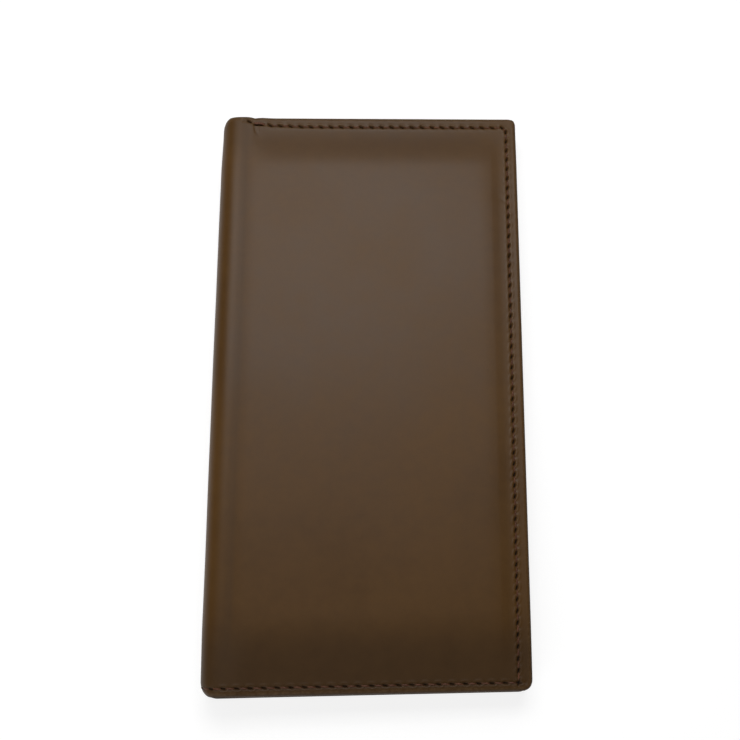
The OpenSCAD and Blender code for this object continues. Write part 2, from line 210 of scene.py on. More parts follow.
def on_skin(s, y, w):
    """s runs along the outer face from mid-spine: back half below 0, front half above."""
    s, y, w = (np.array(v, float) for v in np.broadcast_arrays(s, y, w))
    x = np.abs(s) - half_roll
    reach = np.where(s < 0, reach_back, reach_front)
    gap = reach - x
    for end, r in ((1, far_corner_r), (-1, near_corner_r)):
        gap, from_end = round_corner(gap, half_l - end * y, r)
        y = end * (half_l - from_end)
    x = reach - gap
    # the first stitch draws the far edge in, and leaves a small notch there
    y = y - notch * ease((y - half_l + notch_fade) / notch_fade) * bump((x - notch_x) / 1.1)
    turn = arc / 2 + s / roll_r
    radius = roll_r - w + squareness * np.sin(2 * np.minimum(turn, arc - turn)) ** 2
    roll = np.stack([
        roll_x - radius * np.sin(turn), y, roll_r - radius * np.cos(turn)
    ], -1)
    flat = np.where((s < 0)[..., None], square_back(x, y, w), square_front(x, y, w))
    point = np.where((x > 0)[..., None], flat, roll)
    left = point[..., 0] - low[0]
    along = point[..., 1]
    for end, r in ((1, far_spine_r), (-1, near_spine_r)):
        left, from_end = round_corner(left, half_l - end * along, r)
        along = end * (half_l - from_end)
    point[..., 0] = left + low[0]
    point[..., 1] = along
    return out_of_square(point)


def flat_vertices(node, half):
    """A CAD node's corners on the flat of its half: x, y and depth."""
    points = np.array([v.co for v in frame["nodes"][node].data.vertices]) / MM
    x = points[:, 0] - roll_x
    if half == "back":
        return np.stack([x, points[:, 1], points[:, 2]], -1)
    z = points[:, 2] - roll_r
    return np.stack([
        x * math.cos(wedge) - z * math.sin(wedge),
        points[:, 1],
        roll_r - (x * math.sin(wedge) + z * math.cos(wedge)),
    ], -1)


def span(node, half):
    points = flat_vertices(node, half)
    return points.min(0), points.max(0)


# ---- seams -----------------------------------------------------------------------------

far_row = half_l - 3.6
near_row = half_l - 2.4
free_drift = 0.9
short_pitch = 3.5
long_pitch = 3.93
# the far seam starts by the roll with a hole set back and a doubled stitch over a slit;
# places are x from the roll and y from the far row
far_start = 8.9
first_hole = (1.9, 1.5)
tack_ends = ((2.1, 1.45), (8.0, 0.66))
slit_place = (5.0, 0.7)
strand_gap = 0.3
hole_reach = 2.5
# slant, half length, half width and darkness of a needle hole; the darkness sets both its depth
# and its painted shade
near_hole = (0.14, 0.9, 0.25, 0.82)
other_hole = (0.32, 0.78, 0.27, 1)


def spread(a, b, pitch):
    return np.linspace(a, b, max(1, round(abs(b - a) / pitch)) + 1)


def outer_rows(side):
    """Needle holes of one half's outer seam, in order: far end, free edge, near end."""
    reach = reach_back if side < 0 else reach_front
    edge = reach - seam_in
    x = spread(far_start, edge - 1.2, short_pitch)
    far = [(first_hole[0], far_row + first_hole[1])]
    far += list(zip(x, far_row + 0.7 * (1 - ease(x / 26))))
    free = [(edge - free_drift * ((far_row - y) / (2 * far_row)) ** 1.5, y)
            for y in spread(far_row - 1.6, -near_row, short_pitch)]
    near = [(v, -near_row) for v in spread(free[-1][0], 0, long_pitch)]
    return [np.array([(side * (half_roll + v), y) for v, y in row])
            for row in (far + free, near)]


spine_holes = np.array([
    (k * strip_half, -near_row) for k in range(-len(folds), len(folds) + 1)
])
rows = {side: outer_rows(side) for side in (-1, 1)}
tack = {side: np.array([(side * (half_roll + x), far_row + y) for x, y in tack_ends])
        for side in (-1, 1)}
all_holes = [row for side in (-1, 1) for row in rows[side]] + [spine_holes]


def hole_marks(s, y):
    """How much each point lies in a needle hole, in the seam's groove and on a hole's lip."""
    hole = np.zeros(len(s))
    groove = np.zeros(len(s))
    lip = np.zeros(len(s))
    for row in all_holes:
        slant, long, wide, dark = near_hole if row[:, 1].max() < 0 else other_hole
        mine = np.ones(len(s), bool)
        for axis, v in ((0, s), (1, y)):
            mine &= (v > row[:, axis].min() - hole_reach) & (v < row[:, axis].max() + hole_reach)
        if not mine.any():
            continue
        ps, py = s[mine], y[mine]
        away = np.hypot(ps[:, None] - row[:, 0], py[:, None] - row[:, 1])
        k = away.argmin(1)
        ahead = row[np.minimum(k + 1, len(row) - 1)] - row[np.maximum(k - 1, 0)]
        ahead = ahead / np.hypot(*ahead.T)[:, None]
        ds, dy = ps - row[k, 0], py - row[k, 1]
        along = ds * ahead[:, 0] + dy * ahead[:, 1]
        across = -ds * ahead[:, 1] + dy * ahead[:, 0]
        slant = -np.sign(ps) * slant
        u = along * np.cos(slant) + across * np.sin(slant)
        v = -along * np.sin(slant) + across * np.cos(slant)
        hole[mine] = np.maximum(hole[mine], dark * np.exp(-(u / long) ** 4 - (v / wide) ** 4))
        groove[mine] = np.maximum(groove[mine], np.exp(-(across / groove_w) ** 2))
        rim = np.hypot(u / 1.3, v / 0.85)
        lip[mine] = np.maximum(lip[mine], np.exp(-((rim - 1) / lip_w) ** 2))
    for side in (-1, 1):
        along = s - side * (half_roll + slit_place[0])
        across = y - (far_row + slit_place[1]) + 0.12 * side * along
        hole = np.maximum(hole, np.exp(-(along / 1.6) ** 6 - (across / 0.26) ** 4))
    return hole, groove, lip


# ---- the cover's outer and inner surface -----------------------------------------------

def on_half(s):
    """x from the roll, and how far the half reaches there."""
    return np.abs(s) - half_roll, np.where(s < 0, reach_back, reach_front)


def edge_gap(x, y, reach):
    """Distance from the nearest sewn edge of the cover."""
    return np.minimum(np.minimum(reach - x, half_l - y), half_l + y)


def outer_depth(s, y):
    """How deep the outer face lies: sewn land, padded face, hinge valley and small marks."""
    x, reach = on_half(s)
    land = land_at_spine + (land_depth - land_at_spine) * ease(x / land_rise)
    ends = ease((half_l - y - sewn_w) / far_slope) * ease((half_l + y + 5) / near_slope)
    # the padded face ends in a firm shoulder along the free edge and sinks softly from there
    gap = reach - x
    pad = 0.2 * ease((gap - shoulder_in) / 1.6) + 0.8 * ease((gap - 2.4) / free_slope)
    pad = (free_pad + (1 - free_pad) * pad) * ends
    depth = land * (1 - pad)
    depth = depth + hinge_depth * bump((x - hinge_x) / hinge_w) * ends
    depth = depth + swell * (1 + ripple(s, y, 3, swell_length)) * pad
    depth = depth + pucker * (1 + ripple(s, y, 8, pucker_length)) * (0.3 + 0.7 * (1 - pad))
    front = s > 0
    from_end = half_l - y
    bend = x - 2.9 - 0.26 * from_end + 0.01 * (from_end - 4) ** 2
    crease_line = crease_depth * bump(bend / 0.6) * bump((from_end - 6.2) / 4)
    side_line = side_crease_depth * bump((x - 5.6) / 0.5) * bump((from_end - 5.5) / 3)
    dent = bump((y - 0.68 * half_l - 0.35 * (gap - 6)) / 1.0) * bump((gap - 6.5) / 3)
    for mark_of_use in (crease_line, side_line, dent_depth * dent):
        depth = depth + np.where(front, mark_of_use, 0)
    rim = np.clip(1 - edge_gap(x, y, reach) / edge_r, 0, 1)
    return depth + edge_fall * (1 - np.sqrt(1 - rim * rim))


# a layer sinks to the sewn edge over layer_slope, from layer_land inside it
layer_slope = 8
layer_land = 5


def layer_depth(s, y, at_spine, at_face, at_edge, at_side, spine_end):
    """Depth of a layer: across the wallet and along it, whichever lies deeper."""
    x, reach = on_half(s)
    across = at_spine + (at_face - at_spine) * ease((x - 1) / hinge_w)
    across = across + (at_edge - at_face) * (1 - ease((reach - x - layer_land) / layer_slope))
    rise = spine_end + (at_edge - spine_end) * ease(x / layer_slope)
    ends = 1 - ease((half_l - np.abs(y) - layer_land) / layer_slope)
    return np.maximum(across, at_side + (rise - at_side) * ends)


def inner_depth(s, y):
    return layer_depth(s, y, cover_t, cover_t, inner_land, cover_t, cover_t + 0.6)


def lining_depth(s, y):
    return layer_depth(s, y, cover_t, cover_t + board_t, inner_land, cover_t, cover_t + 0.6)


# ---- making meshes ---------------------------------------------------------------------

def finish_mesh(name, points, faces, lay, marks=None, sharp=None):
    """Makes one object; lay holds each point's place on the flat material, in millimetres."""
    mesh = bpy.data.meshes.new(name)
    mesh.from_pydata((np.asarray(points) * MM).tolist(), [], faces)
    bm = bmesh.new()
    bm.from_mesh(mesh)
    bmesh.ops.recalc_face_normals(bm, faces=bm.faces)
    bm.to_mesh(mesh)
    bm.free()
    put_marks(mesh, {"lay": lay, **(marks or {})})
    mesh.polygons.foreach_set("use_smooth", [True] * len(mesh.polygons))
    if sharp is not None:
        mesh.set_sharp_from_angle(angle=sharp)
    mesh.update()
    made = bpy.data.objects.new(name, mesh)
    bpy.context.scene.collection.objects.link(made)
    return made


def put_marks(mesh, marks):
    """Stores values or places at the mesh's points, for its finish to read."""
    for label, values in marks.items():
        values = np.asarray(values, np.float32)
        if values.ndim == 2:
            mesh.attributes.new(label, "FLOAT_VECTOR", "POINT").data.foreach_set(
                "vector", values.ravel())
        else:
            mesh.attributes.new(label, "FLOAT", "POINT").data.foreach_set("value", values)


def grid_faces(nu, nv, start=0, closed_v=False):
    """Faces of a grid of nu rows with nv points each, the rows closed to rings or not."""
    faces = []
    for i in range(nu - 1):
        for j in range(nv if closed_v else nv - 1):
            a, b = i * nv + j, i * nv + (j + 1) % nv
            faces.append((start + a, start + b, start + b + nv, start + a + nv))
    return faces


def shell_faces(nu, nv):
    """Two sheets of the same grid, the second nu*nv points later, closed by a rim."""
    n = nu * nv
    faces = grid_faces(nu, nv) + grid_faces(nu, nv, n)
    border = [i * nv for i in range(nu)] + [(nu - 1) * nv + j for j in range(1, nv)]
    border += [i * nv + nv - 1 for i in range(nu - 2, -1, -1)] + list(range(nv - 2, 0, -1))
    for a, b in zip(border, border[1:] + border[:1]):
        faces.append((a, b, b + n, a + n))
    return faces


def lines(a, b, step, near_a=(), near_b=()):
    """Grid lines from a to b: fixed offsets at the ends, and about step apart between."""
    first = a + max(near_a, default=0)
    last = b - max(near_b, default=0)
    middle = np.linspace(first, last, max(1, round((last - first) / step)) + 1)
    ends = [a + v for v in near_a] + [b - v for v in near_b] + [a, b]
    return np.unique(np.round(np.concatenate([middle, ends]), 5))


rim_lines = (0.04, 0.14, 0.3, 0.55, 0.9)
roll_step = 0.2
face_step = 1.25


def cover_grid(s0, s1):
    """The cover's two faces laid flat, the outer at height 0 and the inner at 1."""
    pieces = [[s0]]
    cuts = sorted({s0, s1} | {v for v in (-half_roll, half_roll) if s0 < v < s1})
    for a, b in zip(cuts, cuts[1:]):
        on_roll = abs((a + b) / 2) < half_roll
        free_a = () if a > -half_roll - 1 else rim_lines
        free_b = () if b < half_roll + 1 else rim_lines
        pieces.append(lines(a, b, roll_step if on_roll else face_step, free_a, free_b))
    s = np.unique(np.round(np.concatenate(pieces), 5))
    y = lines(-half_l, half_l, face_step, rim_lines, rim_lines)
    su, yu = np.meshgrid(s, y, indexing="ij")
    lay = np.stack([su.ravel(), yu.ravel(), np.zeros(su.size)], -1)
    lay = np.concatenate([lay, lay + (0, 0, 1)])
    mesh = bpy.data.meshes.new("flat cover")
    mesh.from_pydata(lay.tolist(), [], shell_faces(len(s), len(y)))
    bm = bmesh.new()
    bm.from_mesh(mesh)
    bpy.data.meshes.remove(mesh)
    return bm


def by_a_seam(place):
    """Whether a place on the outer face lies within a stitch's reach of a seam."""
    x = abs(place.x) - half_roll
    reach = reach_back if place.x < 0 else reach_front
    by_near = abs(place.y + near_row) < 1.9 and x < reach - 1.6
    by_far = -0.8 < x < reach - 1.6 and abs(place.y - far_row - 0.4) < 2.2
    by_free = abs(reach - x - seam_in) < 1.9 and abs(place.y) < near_row + 1.6
    return by_near or by_far or by_free


def cover_leather(name, s0, s1):
    """The cover's leather between s0 and s1, with its seams pressed in, closed all round."""
    bm = cover_grid(s0, s1)
    fine = set()
    for f in bm.faces:
        middle = f.calc_center_median()
        if middle.z < 0.01 and by_a_seam(middle):
            fine.update(e for e in f.edges if e.calc_length() > 0.5)
    fine = sorted(fine, key=lambda e: e.index)
    bmesh.ops.subdivide_edges(bm, edges=fine, cuts=4, use_grid_fill=True)
    bmesh.ops.recalc_face_normals(bm, faces=bm.faces)
    lay = np.array([v.co for v in bm.verts])
    faces = [tuple(v.index for v in f.verts) for f in bm.faces]
    bm.free()
    s, y, inner = lay[:, 0], lay[:, 1], lay[:, 2] > 0.5
    hole, groove, lip = hole_marks(s, y)
    outer = outer_depth(s, y) + groove_depth * groove + hole_depth * hole
    outer = outer - lip_height * lip * (1 - hole)
    depth = np.where(inner, inner_depth(s, y), np.maximum(outer, 0.01))
    x, reach = on_half(s)
    edge = edge_gap(x, y, reach)
    wear = np.where(inner, 0, bump((edge - 0.75) / 0.55))
    cut = np.where(inner, 1, bump(edge / 0.45))
    hole = np.where(inner, 0, hole)
    # painted shade: darker at the far end, more at the near end, and along the hinge valley
    unshaded = (1 - 0.3 * ease((17 - half_l + y) / 9)) * (1 - ease((27 - half_l - y) / 17))
    unshaded = unshaded * (1 - 0.5 * bump((x - hinge_x) / 1.3))
    painted_shade = np.where(inner, 0, 1 - unshaded)
    depth = np.where(inner & (edge < 0.3), depth - (0.3 - edge) * 0.8, depth)
    lay = np.stack([s, y, depth], -1)
    return finish_mesh(name, on_skin(s, y, depth), faces, lay,
                       {"hole": hole, "wear": wear, "cut": cut, "painted_shade": painted_shade},
                       sharp=math.radians(70))


def sheet_on(name, place, u, v, depth, thick):
    """A thin sheet over the grid u, v at a depth, thick towards the inside."""
    uu, vv = np.meshgrid(u, v, indexing="ij")
    uu, vv = uu.ravel(), vv.ravel()
    w = np.broadcast_to(depth(uu, vv), uu.shape)
    lay = np.concatenate([np.stack([uu, vv, w], -1), np.stack([uu, vv, w + thick], -1)])
    return finish_mesh(name, place(*lay.T), shell_faces(len(u), len(v)), lay,
                       sharp=math.radians(60))


def inside_gap(x, y, shape):
    """Distance from the edge of a rounded rectangle, above 0 inside it."""
    x0, x1, y0, y1, r = shape
    qx = np.abs(x - (x0 + x1) / 2) - (x1 - x0) / 2 + r
    qy = np.abs(y - (y0 + y1) / 2) - (y1 - y0) / 2 + r
    out = np.hypot(np.maximum(qx, 0), np.maximum(qy, 0)) + np.minimum(np.maximum(qx, qy), 0)
    return r - out


def rounded_loop(shape, inset, step):
    """Points about step apart along a rounded rectangle drawn in by an inset."""
    x0, x1, y0, y1, r = shape
    x0, x1, y0, y1 = x0 + inset, x1 - inset, y0 + inset, y1 - inset
    r = max(r - inset, 0.03)
    points = []
    for cx, cy, turn in ((x1 - r, y1 - r, 0), (x0 + r, y1 - r, 1),
                         (x0 + r, y0 + r, 2), (x1 - r, y0 + r, 3)):
        for k in range(7):
            a = (turn + k / 6) * math.pi / 2
            points.append((cx + r * math.cos(a), cy + r * math.sin(a)))
    full = []
    for p, q in zip(points, points[1:] + points[:1]):
        n = max(1, round(math.dist(p, q) / step))
        full += [(p[0] + (q[0] - p[0]) * i / n, p[1] + (q[1] - p[1]) * i / n)
                 for i in range(n)]
    return full


def outline_rings(shape, holes, rings, step):
    """Points along each outline and beside it, and the edges that run on the outlines."""
    points, edges = [], []
    for cut, sign in [(shape, 1)] + [(h, -1) for h in holes]:
        for inset in rings:
            loop = rounded_loop(cut, sign * inset, step)
            if inset == 0:
                n = len(points)
                edges += [(n + i, n + (i + 1) % len(loop)) for i in range(len(loop))]
            points += loop
    return points, edges


def two_faced(tris, n):
    """Faces of a plate from its upper triangles, with the lower points n later."""
    sides = dict.fromkeys((a, b) for tri in tris.tolist() for a, b in zip(tri, tri[1:] + tri[:1]))
    rim = [(a, b) for a, b in sides if (b, a) not in sides]
    faces = tris.tolist() + (tris[:, ::-1] + n).tolist()
    return faces + [(b, a, a + n, b + n) for a, b in rim]


def cut_plate(name, place, shape, top, bottom, holes=(), step=1.7, extra_y=(),
              rings=(0, 0.1, 0.24, 0.45)):
    """A flat piece cut to a rounded outline with rounded holes. top and bottom give its
    depths from x, y and the distance from the edge."""
    points, edges = outline_rings(shape, holes, rings, step)
    room = rings[-1] + 0.3 * step
    gx, gy = np.meshgrid(np.arange(shape[0], shape[1], step),
                         np.concatenate([np.arange(shape[2], shape[3], step), extra_y]))
    gx, gy = gx.ravel(), gy.ravel()

    def gap_at(x, y):
        gap = inside_gap(x, y, shape)
        for h in holes:
            gap = np.minimum(gap, -inside_gap(x, y, h))
        return gap

    keep = gap_at(gx, gy) > room
    points += list(zip(gx[keep], gy[keep]))
    flat = delaunay_2d_cdt([Vector(p) for p in points], edges, [], 1, 1e-5)
    xy = np.array([tuple(v) for v in flat[0]])
    tris = np.array([tuple(f) for f in flat[2]])
    centre = xy[tris].mean(1)
    tris = tris[gap_at(centre[:, 0], centre[:, 1]) > 1e-4]
    used = np.unique(tris)
    renumber = np.zeros(len(xy), int)
    renumber[used] = np.arange(len(used))
    xy, tris = xy[used], renumber[tris]
    n = len(xy)
    x, y = xy.T
    gap = np.maximum(gap_at(x, y), 0)
    lay = np.concatenate([np.stack([x, y, np.broadcast_to(f(x, y, gap), x.shape)], -1)
                          for f in (top, bottom)])
    both = np.concatenate([gap, gap])
    upper = np.arange(2 * n) < n
    marks = {"wear": np.where(upper, bump((both - 0.28) / 0.3), 0),
             "cut": bump(both / 0.1), "hole": np.zeros(2 * n)}
    return finish_mesh(name, place(*lay.T), two_faced(tris, n), lay, marks,
                       sharp=math.radians(50))


def rolled(gap, r):
    """How far a surface falls towards a rounded edge of radius r."""
    rim = np.clip(1 - gap / r, 0, 1)
    return r * (1 - np.sqrt(1 - rim * rim))


stitch_slant = 0.14
ply_twist = 5.2
ply_depth = 0.14


def thread_run(name, runs, place, surface, up, radius=0.27, lift=0.0, sink=0.5, tuck=0.16):
    """Stitches from hole to hole: runs is a list of pairs of holes. up is -1 on the
    outer face and 1 on the inner faces."""
    rings, sides = 9, 10
    turn = np.linspace(0, 2 * math.pi, sides, endpoint=False)
    t = np.linspace(0, 1, rings)
    lay, faces = [], []
    for (a, b) in runs:
        a, b = np.array(a), np.array(b)
        long = np.hypot(*(b - a))
        way = (b - a) / long
        side = np.array([-way[1], way[0]])
        reach = tuck + (1 - 2 * tuck) * t
        mid = a + (b - a) * reach[:, None] + side * (stitch_slant * (1 - 2 * t))[:, None]
        arch = np.clip(np.sin(math.pi * t), 0, 1) ** 0.6
        rise = -sink + (sink + lift) * arch
        slim = 0.72 + 0.28 * np.sin(math.pi * t)
        ply = 1 + ply_depth * np.cos(2 * (turn - ply_twist * t[:, None] * long / short_pitch))
        r = radius * slim[:, None] * ply
        level = surface(mid[:, 0], mid[:, 1]) + up * rise
        ring = mid[:, None, :] + (r * np.cos(turn))[..., None] * side
        depth = level[:, None] + up * 0.8 * r * np.sin(turn)
        start = len(lay) * rings * sides
        lay.append(np.concatenate([ring, depth[..., None]], -1).reshape(-1, 3))
        faces += grid_faces(rings, sides, start, closed_v=True)
        faces.append(tuple(start + i for i in range(sides)))
        last = start + (rings - 1) * sides
        faces.append(tuple(last + i for i in range(sides - 1, -1, -1)))
    lay = np.concatenate(lay)
    return finish_mesh(name, place(*lay.T), faces, lay)


def pairs(row, first=0, last=None):
    """Each hole of a row with the next one."""
    return [(p, q) for p, q in zip(row[first:last], row[first + 1:last])]


# ---- materials -------------------------------------------------------------------------

def new_group(name, ins, outs):
    group = bpy.data.node_groups.new(name, "ShaderNodeTree")
    for label, kind, value in ins:
        socket = group.interface.new_socket(label, in_out="INPUT", socket_type=kind)
        if value is not None:
            socket.default_value = value
    for label, kind in outs:
        group.interface.new_socket(label, in_out="OUTPUT", socket_type=kind)
    return group, group.nodes.new("NodeGroupInput"), group.nodes.new("NodeGroupOutput")


FLOAT, VECTOR = "NodeSocketFloat", "NodeSocketVector"


def calc(tree, kind, *values, clamp=False):
    node = tree.nodes.new("ShaderNodeMath")
    node.operation = kind
    node.use_clamp = clamp
    for socket, value in zip(node.inputs, values):
        join(tree, value, socket)
    return node.outputs[0]


def join(tree, value, socket):
    if isinstance(value, bpy.types.NodeSocket):
        tree.links.new(value, socket)
    else:
        socket.default_value = value


def mix_color(tree, factor, a, b):
    node = tree.nodes.new("ShaderNodeMix")
    node.data_type = "RGBA"
    join(tree, factor, node.inputs[0])
    # 6, 7 and 2 are the node's colour sockets
    join(tree, a, node.inputs[6])
    join(tree, b, node.inputs[7])
    return node.outputs[2]


def noise_in(tree, vector, scale, detail=3.0, roughness=0.55):
    node = tree.nodes.new("ShaderNodeTexNoise")
    join(tree, scale, node.inputs["Scale"])
    node.inputs["Detail"].default_value = detail
    node.inputs["Roughness"].default_value = roughness
    tree.links.new(vector, node.inputs["Vector"])
    return node.outputs[0]


def make_grain():
    """Fine closed grain of finished leather: cells with soft valleys, and loose pores."""
    g, i, o = new_group("leather grain", [("Place", VECTOR, None), ("Cell", FLOAT, 1.6)],
                        [("Height", FLOAT), ("Pores", FLOAT)])
    cell = g.nodes.new("ShaderNodeTexVoronoi")
    cell.feature = "SMOOTH_F1"
    g.links.new(i.outputs["Place"], cell.inputs["Vector"])
    g.links.new(i.outputs["Cell"], cell.inputs["Scale"])
    soft = noise_in(g, i.outputs["Place"], i.outputs["Cell"], 4)
    height = calc(g, "ADD", calc(g, "MULTIPLY", cell.outputs[0], -0.6), soft)
    pore = noise_in(g, i.outputs["Place"], 2.3, 2)
    g.links.new(height, o.inputs["Height"])
    g.links.new(calc(g, "MULTIPLY", calc(g, "SUBTRACT", pore, 0.62), 6, clamp=True),
                o.inputs["Pores"])
    return g


def make_tone():
    """Slow drift of a dyed surface between 0 and 1."""
    g, i, o = new_group("dye drift", [("Place", VECTOR, None), ("Broad", FLOAT, 0.02),
                                      ("Fine", FLOAT, 0.3)], [("Tone", FLOAT)])
    broad = noise_in(g, i.outputs["Place"], i.outputs["Broad"], 3)
    fine = noise_in(g, i.outputs["Place"], i.outputs["Fine"], 5, 0.65)
    both = calc(g, "ADD", calc(g, "MULTIPLY", broad, 0.65), calc(g, "MULTIPLY", fine, 0.35))
    wide = calc(g, "MULTIPLY", calc(g, "SUBTRACT", both, 0.32), 2.7, clamp=True)
    g.links.new(wide, o.inputs["Tone"])
    return g


def make_wear():
    """Rubbed edges: the mark broken up by small scuffs."""
    g, i, o = new_group("edge wear", [("Place", VECTOR, None), ("Mark", FLOAT, 0)],
                        [("Worn", FLOAT)])
    scuff = noise_in(g, i.outputs["Place"], 0.9, 4)
    strong = calc(g, "MULTIPLY", calc(g, "SUBTRACT", scuff, 0.3), 2.2, clamp=True)
    g.links.new(calc(g, "MULTIPLY", i.outputs["Mark"], strong), o.inputs["Worn"])
    return g


def make_weave():
    """Woven cloth: two sets of yarns, one over the other, with a diagonal step; the low places
    between yarns get painted shade.
    """
    g, i, o = new_group("woven cloth", [("Place", VECTOR, None), ("Yarns", FLOAT, 2.2),
                                        ("Twill", FLOAT, 1)],
                        [("Height", FLOAT), ("Painted Shade", FLOAT)])
    split = g.nodes.new("ShaderNodeSeparateXYZ")
    g.links.new(i.outputs["Place"], split.inputs[0])
    u, v = (calc(g, "MULTIPLY", calc(g, "MULTIPLY", split.outputs[axis], i.outputs["Yarns"]),
                 2 * math.pi) for axis in (0, 1))
    warp = calc(g, "MULTIPLY", calc(g, "COSINE", u), 0.5)
    weft = calc(g, "MULTIPLY", calc(g, "COSINE", v), 0.5)
    step = calc(g, "MULTIPLY", calc(g, "ADD", u, calc(g, "MULTIPLY", v, i.outputs["Twill"])), 0.5)
    over = calc(g, "ADD", calc(g, "MULTIPLY", calc(g, "SINE", step), 0.5), 0.5)
    height = calc(g, "ADD", calc(g, "MULTIPLY", warp, over),
                  calc(g, "MULTIPLY", weft, calc(g, "SUBTRACT", 1, over)))
    fuzz = noise_in(g, i.outputs["Place"], 3.1, 3)
    g.links.new(calc(g, "ADD", height, calc(g, "MULTIPLY", fuzz, 0.3)), o.inputs["Height"])
    g.links.new(calc(g, "ADD", calc(g, "MULTIPLY", height, 0.5), 0.5, clamp=True),
                o.inputs["Painted Shade"])
    return g


GRAIN, TONE, WEAR, WEAVE = make_grain(), make_tone(), make_wear(), make_weave()


def start_material(name, own_place=True):
    """A new material, and where its textures are laid: the flat pattern, in millimetres."""
    material = bpy.data.materials.new(name)
    material.use_nodes = True
    tree = material.node_tree
    if own_place:
        node = tree.nodes.new("ShaderNodeAttribute")
        node.attribute_name = "lay"
        return material, tree, tree.nodes["Principled BSDF"], node.outputs["Vector"]
    node = tree.nodes.new("ShaderNodeTexCoord")
    scale = tree.nodes.new("ShaderNodeVectorMath")
    scale.operation = "SCALE"
    scale.inputs["Scale"].default_value = 1 / MM
    tree.links.new(node.outputs["Object"], scale.inputs[0])
    return material, tree, tree.nodes["Principled BSDF"], scale.outputs[0]


def use_group(tree, group, place, **values):
    node = tree.nodes.new("ShaderNodeGroup")
    node.node_tree = group
    tree.links.new(place, node.inputs["Place"])
    for label, value in values.items():
        join(tree, value, node.inputs[label])
    return node


def mark(tree, label):
    """The value that a mesh stores under a label; 0 where it stores none."""
    node = tree.nodes.new("ShaderNodeAttribute")
    node.attribute_name = label
    return node.outputs["Fac"]


def set_bump(tree, shader, height, distance, strength):
    """Raises the surface by a height; distance is in millimetres."""
    node = tree.nodes.new("ShaderNodeBump")
    node.inputs["Distance"].default_value = distance * MM
    node.inputs["Strength"].default_value = strength
    tree.links.new(height, node.inputs["Height"])
    tree.links.new(node.outputs[0], shader.inputs["Normal"])


def make_leather(name, dark, light, worn, raw, rough, grain_depth):
    """Smooth dyed leather: worn at its edges, raw where cut, and darkened by painted shade at its
    ends, along the hinge and in its needle holes.
    """
    material, tree, shader, place = start_material(name)
    tone = use_group(tree, TONE, place, Broad=0.018, Fine=0.22).outputs["Tone"]
    grain = use_group(tree, GRAIN, place, Cell=2.6)
    rubbed = use_group(tree, WEAR, place, Mark=mark(tree, "wear")).outputs["Worn"]
    painted_shade = mark(tree, "painted_shade")
    color = mix_color(tree, tone, (*dark, 1), (*light, 1))
    # painted shade: this mark darkens the leather towards near black at its ends and along the
    # hinge
    color = mix_color(tree, calc(tree, "MULTIPLY", painted_shade, 0.36), color, (0.004, 0.002, 0.001, 1))
    color = mix_color(tree, calc(tree, "MULTIPLY", grain.outputs["Pores"], 0.35), color,
                      (*(0.55 * v for v in dark), 1))
    color = mix_color(tree, calc(tree, "MULTIPLY", rubbed, 0.55), color, (*worn, 1))
    color = mix_color(tree, calc(tree, "MULTIPLY", mark(tree, "cut"), 0.75), color, (*raw, 1))
    # needle holes and the tack's slit are painted near black: painted shade inside them
    hole = mark(tree, "hole")
    color = mix_color(tree, calc(tree, "MULTIPLY", hole, 0.96), color, (0.004, 0.0015, 0.001, 1))
    tree.links.new(color, shader.inputs["Base Color"])
    level = calc(tree, "ADD", calc(tree, "MULTIPLY", tone, 0.09), rough)
    level = calc(tree, "ADD", calc(tree, "MULTIPLY", painted_shade, 0.08), level)
    level = calc(tree, "SUBTRACT", level, calc(tree, "MULTIPLY", rubbed, 0.06))
    tree.links.new(calc(tree, "ADD", level, calc(tree, "MULTIPLY", hole, 0.4)),
                   shader.inputs["Roughness"])
    shader.inputs["Specular IOR Level"].default_value = 0.23
    set_bump(tree, shader, grain.outputs["Height"], grain_depth, 0.5)
    return material


def make_cloth(name, dark, light, yarns, twill, own_place=True):
    material, tree, shader, place = start_material(name, own_place)
    weave = use_group(tree, WEAVE, place, Yarns=yarns, Twill=twill)
    tone = use_group(tree, TONE, place, Broad=0.05, Fine=0.8).outputs["Tone"]
    # the cloth is painted darker where its yarns lie low: painted shade between the yarns
    color = mix_color(tree, weave.outputs["Painted Shade"], (*dark, 1), (*light, 1))
    color = mix_color(tree, calc(tree, "MULTIPLY", tone, 0.35), color, (*dark, 1))
    tree.links.new(color, shader.inputs["Base Color"])
    tree.links.new(calc(tree, "ADD", calc(tree, "MULTIPLY", tone, 0.1), 0.72),
                   shader.inputs["Roughness"])
    shader.inputs["Sheen Weight"].default_value = 0.25
    set_bump(tree, shader, weave.outputs["Height"], 0.06, 0.8)
    return material


def make_thread():
    material, tree, shader, place = start_material("waxed thread")
    tone = use_group(tree, TONE, place, Broad=0.15, Fine=1.6).outputs["Tone"]
    tree.links.new(mix_color(tree, tone, (0.05, 0.018, 0.0085, 1), (0.13, 0.048, 0.022, 1)),
                   shader.inputs["Base Color"])
    tree.links.new(calc(tree, "ADD", calc(tree, "MULTIPLY", tone, 0.2), 0.42),
                   shader.inputs["Roughness"])
    shader.inputs["Specular IOR Level"].default_value = 0.25
    set_bump(tree, shader, noise_in(tree, place, 5.0, 4), 0.05, 0.6)
    return material


def make_metal():
    material, tree, shader, place = start_material("zip brass")
    tone = use_group(tree, TONE, place, Broad=0.2, Fine=2.0).outputs["Tone"]
    rubbed = use_group(tree, WEAR, place, Mark=mark(tree, "wear")).outputs["Worn"]
    color = mix_color(tree, tone, (0.42, 0.27, 0.09, 1), (0.62, 0.43, 0.18, 1))
    color = mix_color(tree, calc(tree, "MULTIPLY", rubbed, 0.5), color, (0.78, 0.62, 0.34, 1))
    tree.links.new(color, shader.inputs["Base Color"])
    tree.links.new(calc(tree, "ADD", calc(tree, "MULTIPLY", tone, 0.16), 0.22),
                   shader.inputs["Roughness"])
    shader.inputs["Metallic"].default_value = 1
    set_bump(tree, shader, noise_in(tree, place, 4.0, 5), 0.02, 0.4)
    return material


